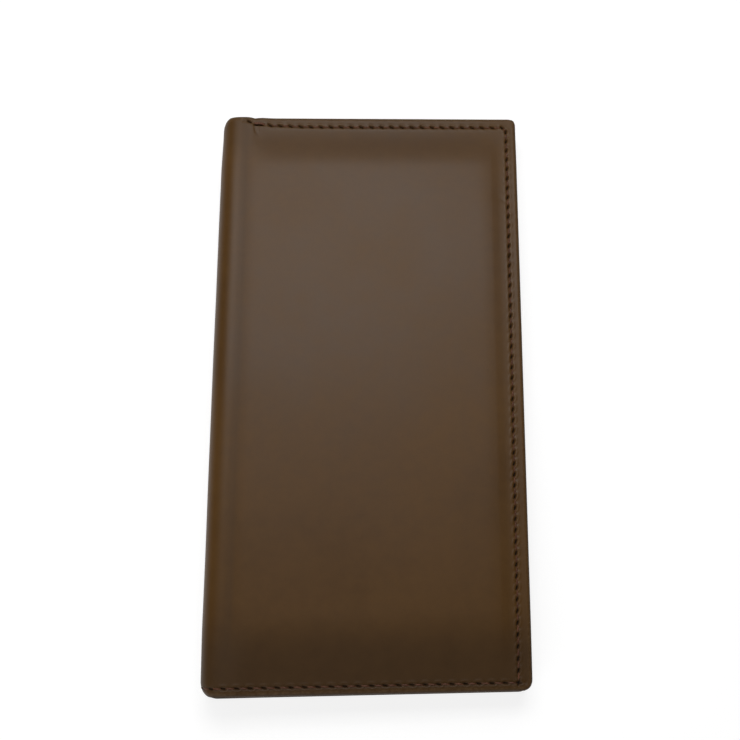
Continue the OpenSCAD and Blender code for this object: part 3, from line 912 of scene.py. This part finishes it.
def make_board():
    material, tree, shader, place = start_material("grey board", own_place=False)
    tone = use_group(tree, TONE, place, Broad=0.1, Fine=1.4).outputs["Tone"]
    fleck = noise_in(tree, place, 2.2, 5, 0.7)
    color = mix_color(tree, tone, (0.22, 0.2, 0.17, 1), (0.34, 0.32, 0.27, 1))
    color = mix_color(tree, calc(tree, "MULTIPLY", calc(tree, "SUBTRACT", fleck, 0.6), 5,
                                 clamp=True), color, (0.12, 0.1, 0.08, 1))
    tree.links.new(color, shader.inputs["Base Color"])
    shader.inputs["Roughness"].default_value = 0.85
    set_bump(tree, shader, fleck, 0.05, 0.5)
    return material


def make_film():
    material, tree, shader, place = start_material("clear film", own_place=False)
    haze = noise_in(tree, place, 0.12, 4)
    color = mix_color(tree, haze, (0.9, 0.92, 0.93, 1), (0.97, 0.98, 0.98, 1))
    tree.links.new(color, shader.inputs["Base Color"])
    tree.links.new(calc(tree, "ADD", calc(tree, "MULTIPLY", haze, 0.06), 0.02),
                   shader.inputs["Roughness"])
    shader.inputs["Transmission Weight"].default_value = 0.98
    shader.inputs["IOR"].default_value = 1.3
    set_bump(tree, shader, haze, 0.15, 0.25)
    return material


cover_finish = make_leather(
    "cover leather", dark=(0.0643, 0.0279, 0.0042), light=(0.0915, 0.0413, 0.0069),
    worn=(0.13, 0.076, 0.034), raw=(0.034, 0.0175, 0.006), rough=0.4, grain_depth=0.018)
page_finish = make_leather(
    "page leather", dark=(0.0766, 0.0348, 0.0075), light=(0.111, 0.0527, 0.0122),
    worn=(0.16, 0.095, 0.045), raw=(0.038, 0.02, 0.008), rough=0.5, grain_depth=0.03)
lining_finish = make_cloth("lining twill", (0.012, 0.008, 0.006), (0.034, 0.023, 0.016), 2.4, 1)
tape_finish = make_cloth("zip tape", (0.014, 0.009, 0.006), (0.04, 0.026, 0.017), 1.9, 0,
                         own_place=False)
thread_finish, metal_finish = make_thread(), make_metal()
board_finish, film_finish = make_board(), make_film()


def dress(piece, material, nodes=()):
    """Gives a piece its finish and its slot, and hides the CAD nodes that it stands for."""
    piece.data.materials.clear()
    piece.data.materials.append(material)
    if nodes:
        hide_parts(*nodes)
    return piece


# ---- cover, lining and outer seam ------------------------------------------------------

def skin_point(s):
    """A point of the lining's inner face at mid-length."""
    x, _, z = on_skin(s, 0, cover_t + cloth_t) * MM
    return x, 0, z


full_back, full_front = half_roll + reach_back, half_roll + reach_front
# name, the bodies at its two ends, where it starts and ends, and where the bend runs
thirds = [
    ("back", ("back_half", "spine_lower"), (-full_back, -strip_half), (-half_roll, -strip_half)),
    ("spine", ("spine_lower", "spine_upper"), (-strip_half, strip_half),
     (-strip_half, strip_half)),
    ("front", ("spine_upper", "front_half"), (strip_half, full_front), (strip_half, half_roll)),
]
leather_nodes = {"back": ["back_cover"], "front": ["front_cover"],
                 "spine": ["spine_lower_leather", "spine_upper_leather"]}
lining_nodes = {"back": ["back_lining"], "front": ["front_lining"],
                "spine": ["spine_lower_lining", "spine_upper_lining"]}
thread_nodes = {"back": ["back_seam_thread"], "front": ["front_seam_thread"],
                "spine": ["spine_lower_thread", "spine_upper_thread"]}


def outer_runs(part):
    side = {"back": -1, "front": 1}.get(part)
    holes = len(folds)
    if side is None:
        return pairs(spine_holes, holes - 1, holes + 2)
    start = 0 if side < 0 else holes + 1
    runs = pairs(spine_holes, start, start + holes)
    for row in rows[side]:
        runs += pairs(row)
    # the seam starts with two strands side by side
    return runs + [tuple(tack[side]), tuple(tack[side] + (0, strand_gap))]


for part, bodies, (s0, s1), (bend0, bend1) in thirds:
    leather = dress(cover_leather(part + "_cover_skin", s0, s1), cover_finish,
                    leather_nodes[part])
    thread = dress(thread_run(part + "_outer_stitches", outer_runs(part), on_skin,
                              outer_depth, up=-1), thread_finish,
                   thread_nodes[part])
    a, b = max(s0, -full_back + page_lap), min(s1, full_front - page_lap)
    cloth_y = half_l - page_lap
    cuts = sorted({a, b} | {v for v in (-half_roll, half_roll) if a < v < b})
    u = np.unique(np.concatenate([
        lines(p, q, 0.4 if abs(p + q) / 2 < half_roll else 2.2) for p, q in zip(cuts, cuts[1:])
    ]).round(5))
    cloth = dress(
        sheet_on(part + "_lining_cloth", on_skin, u, lines(-cloth_y, cloth_y, 2.2),
                 lining_depth, cloth_t), lining_finish, lining_nodes[part])
    for piece in (leather, thread, cloth):
        skin_point(bend0)
        skin_point(bend1)
        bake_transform(piece)

for node in ("back_board", "front_board"):
    dress(frame["nodes"][node], board_finish)

# ---- pages and pockets -----------------------------------------------------------------

(page_x0, _, page_low), (page_x1, page_l, page_face) = span("back_page", "back")
front_x1 = span("front_page", "front")[1][0]
page_r = 2.2
fold_r = 0.3
crease_in = 1.7


def crease(gap):
    """The pressed line beside an edge."""
    return 0.13 * bump((gap - crease_in) / 0.22)


def pocket_rise(x, x0, x1):
    """How far a pocket stands off, from its sewn sides to its middle."""
    return 0.8 + 0.2 * np.sin(math.pi * np.clip((x - x0) / (x1 - x0), 0, 1)) ** 0.5


def pocket_top(x, y, pocket):
    """The pocket's upper face, which climbs from its sewn foot to its mouth."""
    (x0, y0, w0), (x1, y1, w1) = pocket
    rise = w1 - w0 - pocket_t
    t = np.clip((y - y0) / (y1 - y0), 0, 1)
    return w0 + pocket_t + rise * t * pocket_rise(x, x0, x1)


def bank_face(x, y, pockets, base):
    """The surface seen at a place: the page, or the pocket that lies on top there."""
    face = np.full(np.broadcast(x, y).shape, float(base))
    for pocket in pockets:
        (x0, y0, _), (x1, y1, _) = pocket
        within = (y >= y0) & (y <= y1) & (x >= x0) & (x <= x1)
        face = np.where(within, np.maximum(face, pocket_top(x, y, pocket)), face)
    return face


def make_pocket(name, node, pocket, place, body, seed):
    """A card pocket: a strip of leather with a turned mouth and a pressed line below it."""
    (x0, y0, w0), (x1, y1, _) = pocket

    def top(x, y, gap):
        mouth = y1 - y
        sag = 0.05 * ripple(x, y, seed, 30) * ease((y - y0) / 8)
        turned = 0.12 * bump(mouth / 1.3)
        fall = rolled(np.minimum(gap, mouth), fold_r)
        return pocket_top(x, y, pocket) + sag + turned - crease(mouth) - fall

    def bottom(x, y, gap):
        return pocket_top(x, y, pocket) - pocket_t + rolled(gap, 0.12)

    mouth_lines = y1 - np.array([1.2, 1.45, 1.6, 1.7, 1.8, 1.95, 2.2])
    piece = cut_plate(name, place, (x0, x1, y0, y1, 0.8), top, bottom, extra_y=mouth_lines)
    dress(piece, page_finish, [node])
    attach(piece, body)


def flat_bottom(level):
    return lambda x, y, gap: np.full(x.shape, level) + rolled(gap, 0.12)


def page_top(level, seed):
    def top(x, y, gap):
        return level + 0.03 * ripple(x, y, seed, 34) - crease(gap) - rolled(gap, fold_r)
    return top


page_rings = (0, 0.1, 0.24, 0.45, 1.4, 1.58, 1.7, 1.82, 2.0)
back_shape = (page_x0, page_x1, -page_l, page_l, page_r)
front_shape = (page_x0, front_x1, -page_l, page_l, page_r)
back_page = cut_plate("back_page_leather", on_back, back_shape, page_top(page_face, 11),
                      flat_bottom(page_low), rings=page_rings)
# the zip's window, from the front page's own corners
window = flat_vertices("front_page", "front")
window = window[(np.abs(window[:, 1]) < page_l - 3) & (window[:, 0] < 0.3 * front_x1)]
window = window[window[:, 0] > page_x0 + 2]
zip_shape = (window[:, 0].min(), window[:, 0].max(), window[:, 1].min(), window[:, 1].max(), 3.4)
zip_x = (zip_shape[0] + zip_shape[1]) / 2
front_page = cut_plate("front_page_leather", on_front, front_shape, page_top(page_face, 12),
                       flat_bottom(page_low), holes=[zip_shape], rings=page_rings)
for piece, node, body in ((back_page, "back_page", "back_half"),
                          (front_page, "front_page", "front_half")):
    dress(piece, page_finish, [node])
    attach(piece, body)

cards = [span(f"card_pocket_{k}", "back") for k in range(1, 9)]
for k, pocket in enumerate(cards, 1):
    make_pocket(f"card_pocket_leather_{k}", f"card_pocket_{k}", pocket, on_back, "back_half", k)
slots = [span(f"side_slot_{k}", "front") for k in range(1, 4)]
for k, pocket in enumerate(slots, 1):
    make_pocket(f"side_slot_leather_{k}", f"side_slot_{k}", pocket, on_front, "front_half",
                20 + k)

# the identity card's frame and its window
(frame_x0, _, _), (frame_x1, frame_y1, frame_face) = span("id_frame", "front")
frame_shape = (frame_x0, frame_x1, -page_l, frame_y1, 1.6)
border = 10
id_window = (frame_x0 + border, frame_x1 - border, -page_l + border, frame_y1 - border, 4)
id_frame = cut_plate("id_frame_leather", on_front, frame_shape, page_top(frame_face, 13),
                     flat_bottom(page_face + 0.32), holes=[id_window], rings=page_rings)
dress(id_frame, page_finish, ["id_frame"])
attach(id_frame, "front_half")
dress(frame["nodes"]["id_film"], film_finish)

# ---- cloth inside the halves -----------------------------------------------------------


def cloth_piece(name, node, place, u, v, depth, body):
    """A cloth sheet over the grid u, v, fixed to its body."""
    piece = dress(sheet_on(name, place, u, v, depth, cloth_t), lining_finish,
                  [node])
    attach(piece, body)


inset = 0.4
bag_x = 3.2
divider_x = 3.9
long_lines = lines(-page_l + inset, page_l - inset, 2.2)


def mouth_wave(x, y):
    """The loose edge of a bill pocket's cloth stands a little away at the spine."""
    return 0.12 * np.sin(y / 21) * bump((x - page_x0) / 9)


def divider_depth(x, y):
    """The divider hangs half way between the lining and the page."""
    s = -(x + half_roll)
    mid = (cover_t + board_t + page_low) / 2
    side = cover_t + cloth_t
    return layer_depth(s, y, mid, mid, side + 2, side, side + 0.6) + mouth_wave(x - 4, y)


def bag_depth(x, y):
    """The coin bag's back wall: sewn at the rim, sunk below the zip."""
    rim = page_low - 2 * cloth_t
    deep = cover_t + board_t + cloth_t + 0.1
    across = rim + (deep - rim) * ease((x - bag_x) / (zip_x - 7.5 - bag_x))
    from_edge = front_x1 + page_lap - x
    across = across + (rim - deep) * (1 - ease((from_edge - layer_land) / layer_slope))
    side = cover_t + cloth_t
    ends = 1 - ease((half_l - np.abs(y) - layer_land) / layer_slope)
    return np.maximum(across, side + (rim - side) * ends) + 0.03 * ripple(x, y, 5, 25)


cloth_piece("bill_divider_cloth", "bill_divider", on_back, lines(divider_x, page_x1 - inset, 2),
            long_lines, divider_depth, "back_half")
cloth_piece("back_page_cloth", "back_page_backing", on_back,
            lines(page_x0 + inset, page_x1 - inset, 2), long_lines,
            lambda x, y: np.full(x.shape, page_low - cloth_t - 0.01), "back_half")
cloth_piece("coin_bag_cloth", "coin_bag", on_front,
            lines(page_x0 + inset, front_x1 - inset, 1.6), long_lines, bag_depth, "front_half")

tape_edge = max(span("zip_tape_outer", "front")[1][0] - zip_x, 9)
tape_end = span("zip_tape_outer", "front")[1][1]
tape_hole = (zip_x - tape_edge - 0.2, zip_x + tape_edge + 0.2, -tape_end - 0.2,
             tape_end + 0.2, 0.5)
backing_shape = (page_x0 + inset, front_x1 - inset, -page_l + inset, page_l - inset, page_r)
backing = cut_plate(
    "front_page_cloth", on_front, backing_shape,
    lambda x, y, gap: np.full(x.shape, page_low - 0.01),
    lambda x, y, gap: np.full(x.shape, page_low - cloth_t), holes=[tape_hole], step=2.4,
    rings=(0, 0.4))
dress(backing, lining_finish, ["front_page_backing"])
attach(backing, "front_half")

# ---- stitches of the inner faces -------------------------------------------------------


def row_along(x, y0, y1):
    return pairs(np.array([(x, y) for y in spread(y0, y1, short_pitch)]))


def row_across(y, x0, x1):
    return pairs(np.array([(x, y) for x in spread(x0, x1, short_pitch)]))


def card_face(x, y):
    return bank_face(x, y, cards, page_face)


def slot_face(x, y):
    plain = np.where((y < frame_y1) & (x > frame_x0), frame_face, page_face)
    return np.maximum(bank_face(x, y, slots, page_face), plain)


seam_l = half_l - seam_in
seam_x = page_x0 + 2.4
back_edge = reach_back - seam_in
front_edge = reach_front - seam_in
column = frame_x0 + 2.4
slots_top = max(pocket[1][1] for pocket in slots)
slots_foot = min(pocket[0][1] for pocket in slots)
zip_side = (zip_shape[1] - zip_shape[0]) / 2 + 1.8
zip_end = zip_shape[3] + 1.8
inner_seams = [
    ("back_page_stitches", "back_page_thread", on_back, card_face, "back_half",
     row_along(seam_x, -seam_l, seam_l) + row_across(seam_l, seam_x, back_edge)
     + row_along(back_edge, seam_l, -seam_l) + row_across(-seam_l, back_edge, seam_x)),
    ("front_page_stitches", "front_page_thread", on_front, slot_face, "front_half",
     row_along(seam_x, -seam_l, seam_l) + row_across(seam_l, seam_x, front_edge)
     + row_along(front_edge, seam_l, -seam_l) + row_across(-seam_l, front_edge, column)
     + row_across(-seam_l, column - 3.5, seam_x)),
    ("slot_stitches", "side_slot_thread", on_front, slot_face, "front_half",
     row_along(column, -seam_l + 2, slots_top - 1.5)
     + row_across(slots_foot + 2, column + 2, front_edge - 2)),
    ("zip_window_stitches", "zip_seam_thread", on_front,
     lambda x, y: np.full(np.shape(x), page_face), "front_half",
     row_along(zip_x - zip_side, -zip_end, zip_end)
     + row_across(zip_end, zip_x - zip_side, zip_x + zip_side)
     + row_along(zip_x + zip_side, zip_end, -zip_end)
     + row_across(-zip_end, zip_x + zip_side, zip_x - zip_side)),
]
for name, node, place, face, body, runs in inner_seams:
    seam = thread_run(name, runs, place, face, up=1, radius=0.3, lift=0.02, sink=0.3)
    dress(seam, thread_finish, [node])
    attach(seam, body)

# ---- zip -------------------------------------------------------------------------------

for node in ("zip_tape_inner", "zip_tape_outer"):
    dress(frame["nodes"][node], tape_finish)


def shrink(outline, by):
    """An outline moved inwards, corner by corner; it runs anticlockwise."""
    p = np.array(outline, float)
    ahead = np.roll(p, -1, 0) - p
    ahead /= np.hypot(*ahead.T)[:, None]
    normal = np.stack([-ahead[:, 1], ahead[:, 0]], -1)
    both = normal + np.roll(normal, 1, 0)
    both /= (both ** 2).sum(1)[:, None] / 2
    return p + both * by


def bevelled(outline, w0, w1, bevel):
    """Points and faces of a plate with bevelled edges, from an outline in x and y."""
    small = shrink(outline, bevel)
    full = np.array(outline, float)
    rings = [(small, w0), (full, w0 + bevel), (full, w1 - bevel), (small, w1)]
    points = np.concatenate([np.column_stack([p, np.full(len(p), w)]) for p, w in rings])
    n = len(full)
    faces = grid_faces(4, n, closed_v=True)
    faces += [tuple(range(n)), tuple(3 * n + i for i in range(n - 1, -1, -1))]
    return points, faces


def swept(path, half_w, half_h, sides=12, across_x=False):
    """A bar swept along a path of points, oval in section."""
    path = np.array(path, float)
    way = np.gradient(path, axis=0)
    way /= np.linalg.norm(way, axis=1)[:, None]
    fixed = np.array([1.0, 0, 0]) if across_x else np.array([0, 0, 1.0])
    a = np.cross(way, fixed)
    a /= np.linalg.norm(a, axis=1)[:, None]
    turn = np.linspace(0, 2 * math.pi, sides, endpoint=False)
    c, s = np.cos(turn), np.sin(turn)
    if across_x:  # a flat bar, with square corners
        c, s = (np.sign(v) * np.abs(v) ** 0.35 for v in (c, s))
    rings = path[:, None] + half_w * s[:, None] * fixed + half_h * c[:, None] * a[:, None]
    n = len(path)
    faces = grid_faces(n, sides, closed_v=True)
    faces += [tuple(range(sides)), tuple((n - 1) * sides + i for i in range(sides - 1, -1, -1))]
    return rings.reshape(-1, 3), faces


def metal_piece(name, parts, body, nodes):
    """One brass piece of several closed parts."""
    points, faces, n = [], [], 0
    for more, more_faces in parts:
        points.append(more)
        faces += [tuple(i + n for i in f) for f in more_faces]
        n += len(more)
    lay = np.concatenate(points)
    piece = finish_mesh(name, on_front(*lay.T), faces, lay,
                        {"wear": np.full(len(lay), 0.5)}, sharp=math.radians(35))
    dress(piece, metal_finish, nodes)
    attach(piece, body)


def moved(part, x=0, y=0, w=0):
    return part[0] + (x, y, w), part[1]


tape = span("zip_tape_outer", "front")
zip_mid = (tape[0][2] + tape[1][2]) / 2
tooth_half = 0.65
tooth_pitch = 2
half_tooth = [(2.1, -0.5), (1.3, -0.5), (0.9, -0.33), (0.5, -0.33), (0.15, -0.44),
              (-0.22, -0.38), (-0.42, -0.14)]


def tooth(side):
    outline = half_tooth + [(x, -y) for x, y in reversed(half_tooth)]
    outline = [(side * x, y) for x, y in outline]
    if side > 0:
        outline.reverse()
    return bevelled(outline, zip_mid - tooth_half, zip_mid + tooth_half, 0.14)


for side, label in ((-1, "inner"), (1, "outer")):
    node = "zip_teeth_" + label
    y0, y1 = (v[1] for v in span(node, "front"))
    first, last = y0 + 0.5, y1 - 0.5
    places = np.linspace(first, last, round((last - first) / tooth_pitch) + 1)
    metal_piece(f"zip_{label}_row", [moved(tooth(side), zip_x, y) for y in places],
                "front_half", [node])

for node in ("zip_top_stop", "zip_bottom_stop"):
    (x0, y0, w0), (x1, y1, w1) = span(node, "front")
    r = 0.4
    outline = [(x1 - r, y1), (x0 + r, y1), (x0, y1 - r), (x0, y0 + r), (x0 + r, y0),
               (x1 - r, y0), (x1, y0 + r), (x1, y1 - r)]
    metal_piece(node + "_clamp", [bevelled(outline, w0, w1, 0.2)], "front_half", [node])

# slider: two shield plates, turned-in flanges, a wedge between them and a bail on top
(sx0, sy0, _), (sx1, sy1, _) = span("zip_slider", "front")
slider_y = (sy0 + sy1) / 2
half_w, half_len = (sx1 - sx0) / 2, (sy1 - sy0) / 2
plate_t = 0.4
flange_t = 0.42
flange_gap = 0.36
slider_h = 2.3
slider_low, slider_top = zip_mid - slider_h / 2, zip_mid + slider_h / 2


def shield():
    """Half outline from the rear to the wide mouths, then mirrored."""
    right = [(1.2, -half_len), (1.9, -half_len + 0.25), (2.25, -half_len + 0.9), (2.45, -1.6),
             (2.75, 0), (half_w, 1.6), (half_w, half_len - 1.3), (half_w - 0.35, half_len - 0.45),
             (half_w - 1.1, half_len), (0.9, half_len - 0.1), (0.35, half_len - 0.55)]
    return right + [(-x, y) for x, y in reversed(right)]


flange_line = [(2.1, -half_len + 0.8), (2.45, -1.6), (2.75, 0), (half_w, 1.6),
               (half_w, half_len - 1.3)]
slider_parts = [bevelled(shield(), slider_low, slider_low + plate_t, 0.1),
                bevelled(shield(), slider_top - plate_t, slider_top, 0.12)]
for side in (-1, 1):
    outer = [(side * x, y) for x, y in flange_line]
    inner = [(side * (x - flange_t), y) for x, y in reversed(flange_line)]
    ring = outer + inner
    if side < 0:
        ring.reverse()
    slider_parts.append(bevelled(ring, slider_low + 0.1, zip_mid - flange_gap, 0.08))
    slider_parts.append(bevelled(ring, zip_mid + flange_gap, slider_top - 0.1, 0.08))
wedge_shape = [(0, 0.7), (0.24, 1.4), (0.3, half_len - 0.9), (0, half_len - 0.6),
               (-0.3, half_len - 0.9), (-0.24, 1.4)]
slider_parts.append(bevelled(wedge_shape, slider_low + 0.2, slider_top - 0.2, 0.05))
bail_y = np.array([-2.15, -2.12, -2.0, -1.7, -1.2, 0, 1.2, 1.7, 2.0, 2.12, 2.15])
bail_w = np.array([-0.2, 0.4, 0.75, 0.96, 1.05, 1.05, 1.05, 0.96, 0.75, 0.4, -0.2])
slider_parts.append(swept(np.stack([0 * bail_y, bail_y, slider_top + bail_w], -1),
                          0.6, 0.15, sides=16, across_x=True))
metal_piece("zip_slider_body", [moved(p, zip_x, slider_y) for p in slider_parts],
            "zip_slider", ["zip_slider"])

# puller: a wire eye under the bail, and a flat tab with a plain raised panel
(px0, py0, pw0), (px1, _, pw1) = span("zip_puller", "front")
pin_w = (pw0 + pw1) / 2
pull_half = (px1 - px0) / 2
pull_t = 0.35
tab_y = -3.0
tab_drawn = -15  # the tab's outline is drawn to this length, then stretched to the real one
eye = [(-pull_half + 0.75, tab_y - 0.5), (-pull_half + 0.7, -1.4), (-pull_half + 0.62, -0.7),
       (-pull_half + 0.8, -0.25), (-pull_half + 1.15, 0)]
eye_path = [(x, y, pin_w) for x, y in eye] + [(0, 0, pin_w)]
eye_path += [(-x, y, pin_w) for x, y in reversed(eye)]
tab_end = py0 - slider_y
tab = [(1.3, 0), (pull_half - 0.1, -0.35), (pull_half, -1.2), (pull_half - 0.25, -4.5),
       (pull_half - 0.35, -8), (pull_half - 0.1, -12.5), (pull_half - 0.5, -14.3),
       (1.1, tab_drawn + 0.05)]
tab = [(x, y * (tab_end - tab_y) / tab_drawn + tab_y) for x, y in tab]
tab_outline = tab + [(-x, y) for x, y in reversed(tab)]
tab_outline.reverse()
raised = [(0.9, tab_y - 3), (0.9, tab_y - 10), (0.4, tab_y - 10.6), (-0.4, tab_y - 10.6),
          (-0.9, tab_y - 10), (-0.9, tab_y - 3), (-0.4, tab_y - 2.4), (0.4, tab_y - 2.4)]
raised.reverse()
puller_parts = [swept(eye_path, 0.33, 0.33),
                bevelled(tab_outline, pin_w - pull_t, pin_w + pull_t, 0.16),
                bevelled(raised, pin_w + pull_t - 0.1, pin_w + pull_t + 0.06, 0.05)]
metal_piece("zip_puller_tab", [moved(p, zip_x, slider_y) for p in puller_parts],
            "zip_puller", ["zip_puller"])

# ---- floor, lights and camera ----------------------------------------------------------

scene = bpy.context.scene
scene.view_settings.view_transform = "Standard"

# the floor and the lights are placed in metres
floor_mesh = bpy.data.meshes.new("floor")
floor_reach = 14.0
floor_drop = 0.00002
corners = ((-1, -1), (1, -1), (1, 1), (-1, 1))
floor_mesh.from_pydata([(x * floor_reach, y * floor_reach, -floor_drop) for x, y in corners],
                       [], [(0, 1, 2, 3)])
floor = bpy.data.objects.new("floor", floor_mesh)
scene.collection.objects.link(floor)
floor_finish = bpy.data.materials.new("pale floor")
floor_finish.use_nodes = True
floor_shader = floor_finish.node_tree.nodes["Principled BSDF"]
floor_shader.inputs["Base Color"].default_value = (0.3, 0.3, 0.3, 1)
floor_shader.inputs["Roughness"].default_value = 0.9
floor_shader.inputs["Specular IOR Level"].default_value = 0.1
floor_shader.inputs["Emission Color"].default_value = (1, 1, 1, 1)
floor_shader.inputs["Emission Strength"].default_value = 0.8
floor.data.materials.append(floor_finish)

# a dim room with a pale band round the horizon
world = bpy.data.worlds.new("studio")
world.use_nodes = True
room = world.node_tree
toward = room.nodes.new("ShaderNodeTexCoord")
split = room.nodes.new("ShaderNodeSeparateXYZ")
room.links.new(toward.outputs["Generated"], split.inputs[0])
band = room.nodes.new("ShaderNodeMapRange")
band.interpolation_type = "SMOOTHSTEP"
for socket, value in (("From Min", 0.5), ("From Max", 0.25), ("To Min", 0.058), ("To Max", 0.34)):
    band.inputs[socket].default_value = value
room.links.new(split.outputs[2], band.inputs[0])
room.links.new(band.outputs[0], room.nodes["Background"].inputs["Strength"])
room.nodes["Background"].inputs["Color"].default_value = (1, 1, 1, 1)
scene.world = world


def soft_light(name, spot, width, height, power):
    """A rectangular lamp that faces the wallet."""
    data = bpy.data.lights.new(name, "AREA")
    data.shape = "RECTANGLE"
    data.size = width
    data.size_y = height
    data.energy = power
    lamp = bpy.data.objects.new(name, data)
    lamp.location = spot
    wallet_middle = Vector((0, 0, 0.01))
    lamp.rotation_euler = (wallet_middle - Vector(spot)).to_track_quat("-Z", "Y").to_euler()
    scene.collection.objects.link(lamp)


soft_light("high window", (0, 0.35, 0.8), 0.6, 0.3, 3.0)
soft_light("close far light", (0, 0.2, 0.32), 0.3, 0.15, 0.4)
soft_light("near fill", (-0.3, -0.55, 0.4), 0.6, 0.4, 1.6)
soft_light("left fill", (-0.32, 0.1, 0.42), 0.3, 0.3, 0.1)

camera_data = bpy.data.cameras.new("camera")
camera_data.sensor_width = 36
camera_data.lens = 58.4
camera_data.clip_start = 0.01
camera = bpy.data.objects.new("camera", camera_data)
camera_place = Vector((-6.25, -105.5, 379.6)) * MM
camera_turn = Euler([math.radians(v) for v in (-16.76, 1.035, -0.464)], "XYZ").to_matrix()
camera.matrix_world = Matrix.Translation(camera_place) @ camera_turn.to_4x4().transposed()
scene.collection.objects.link(camera)
scene.camera = camera
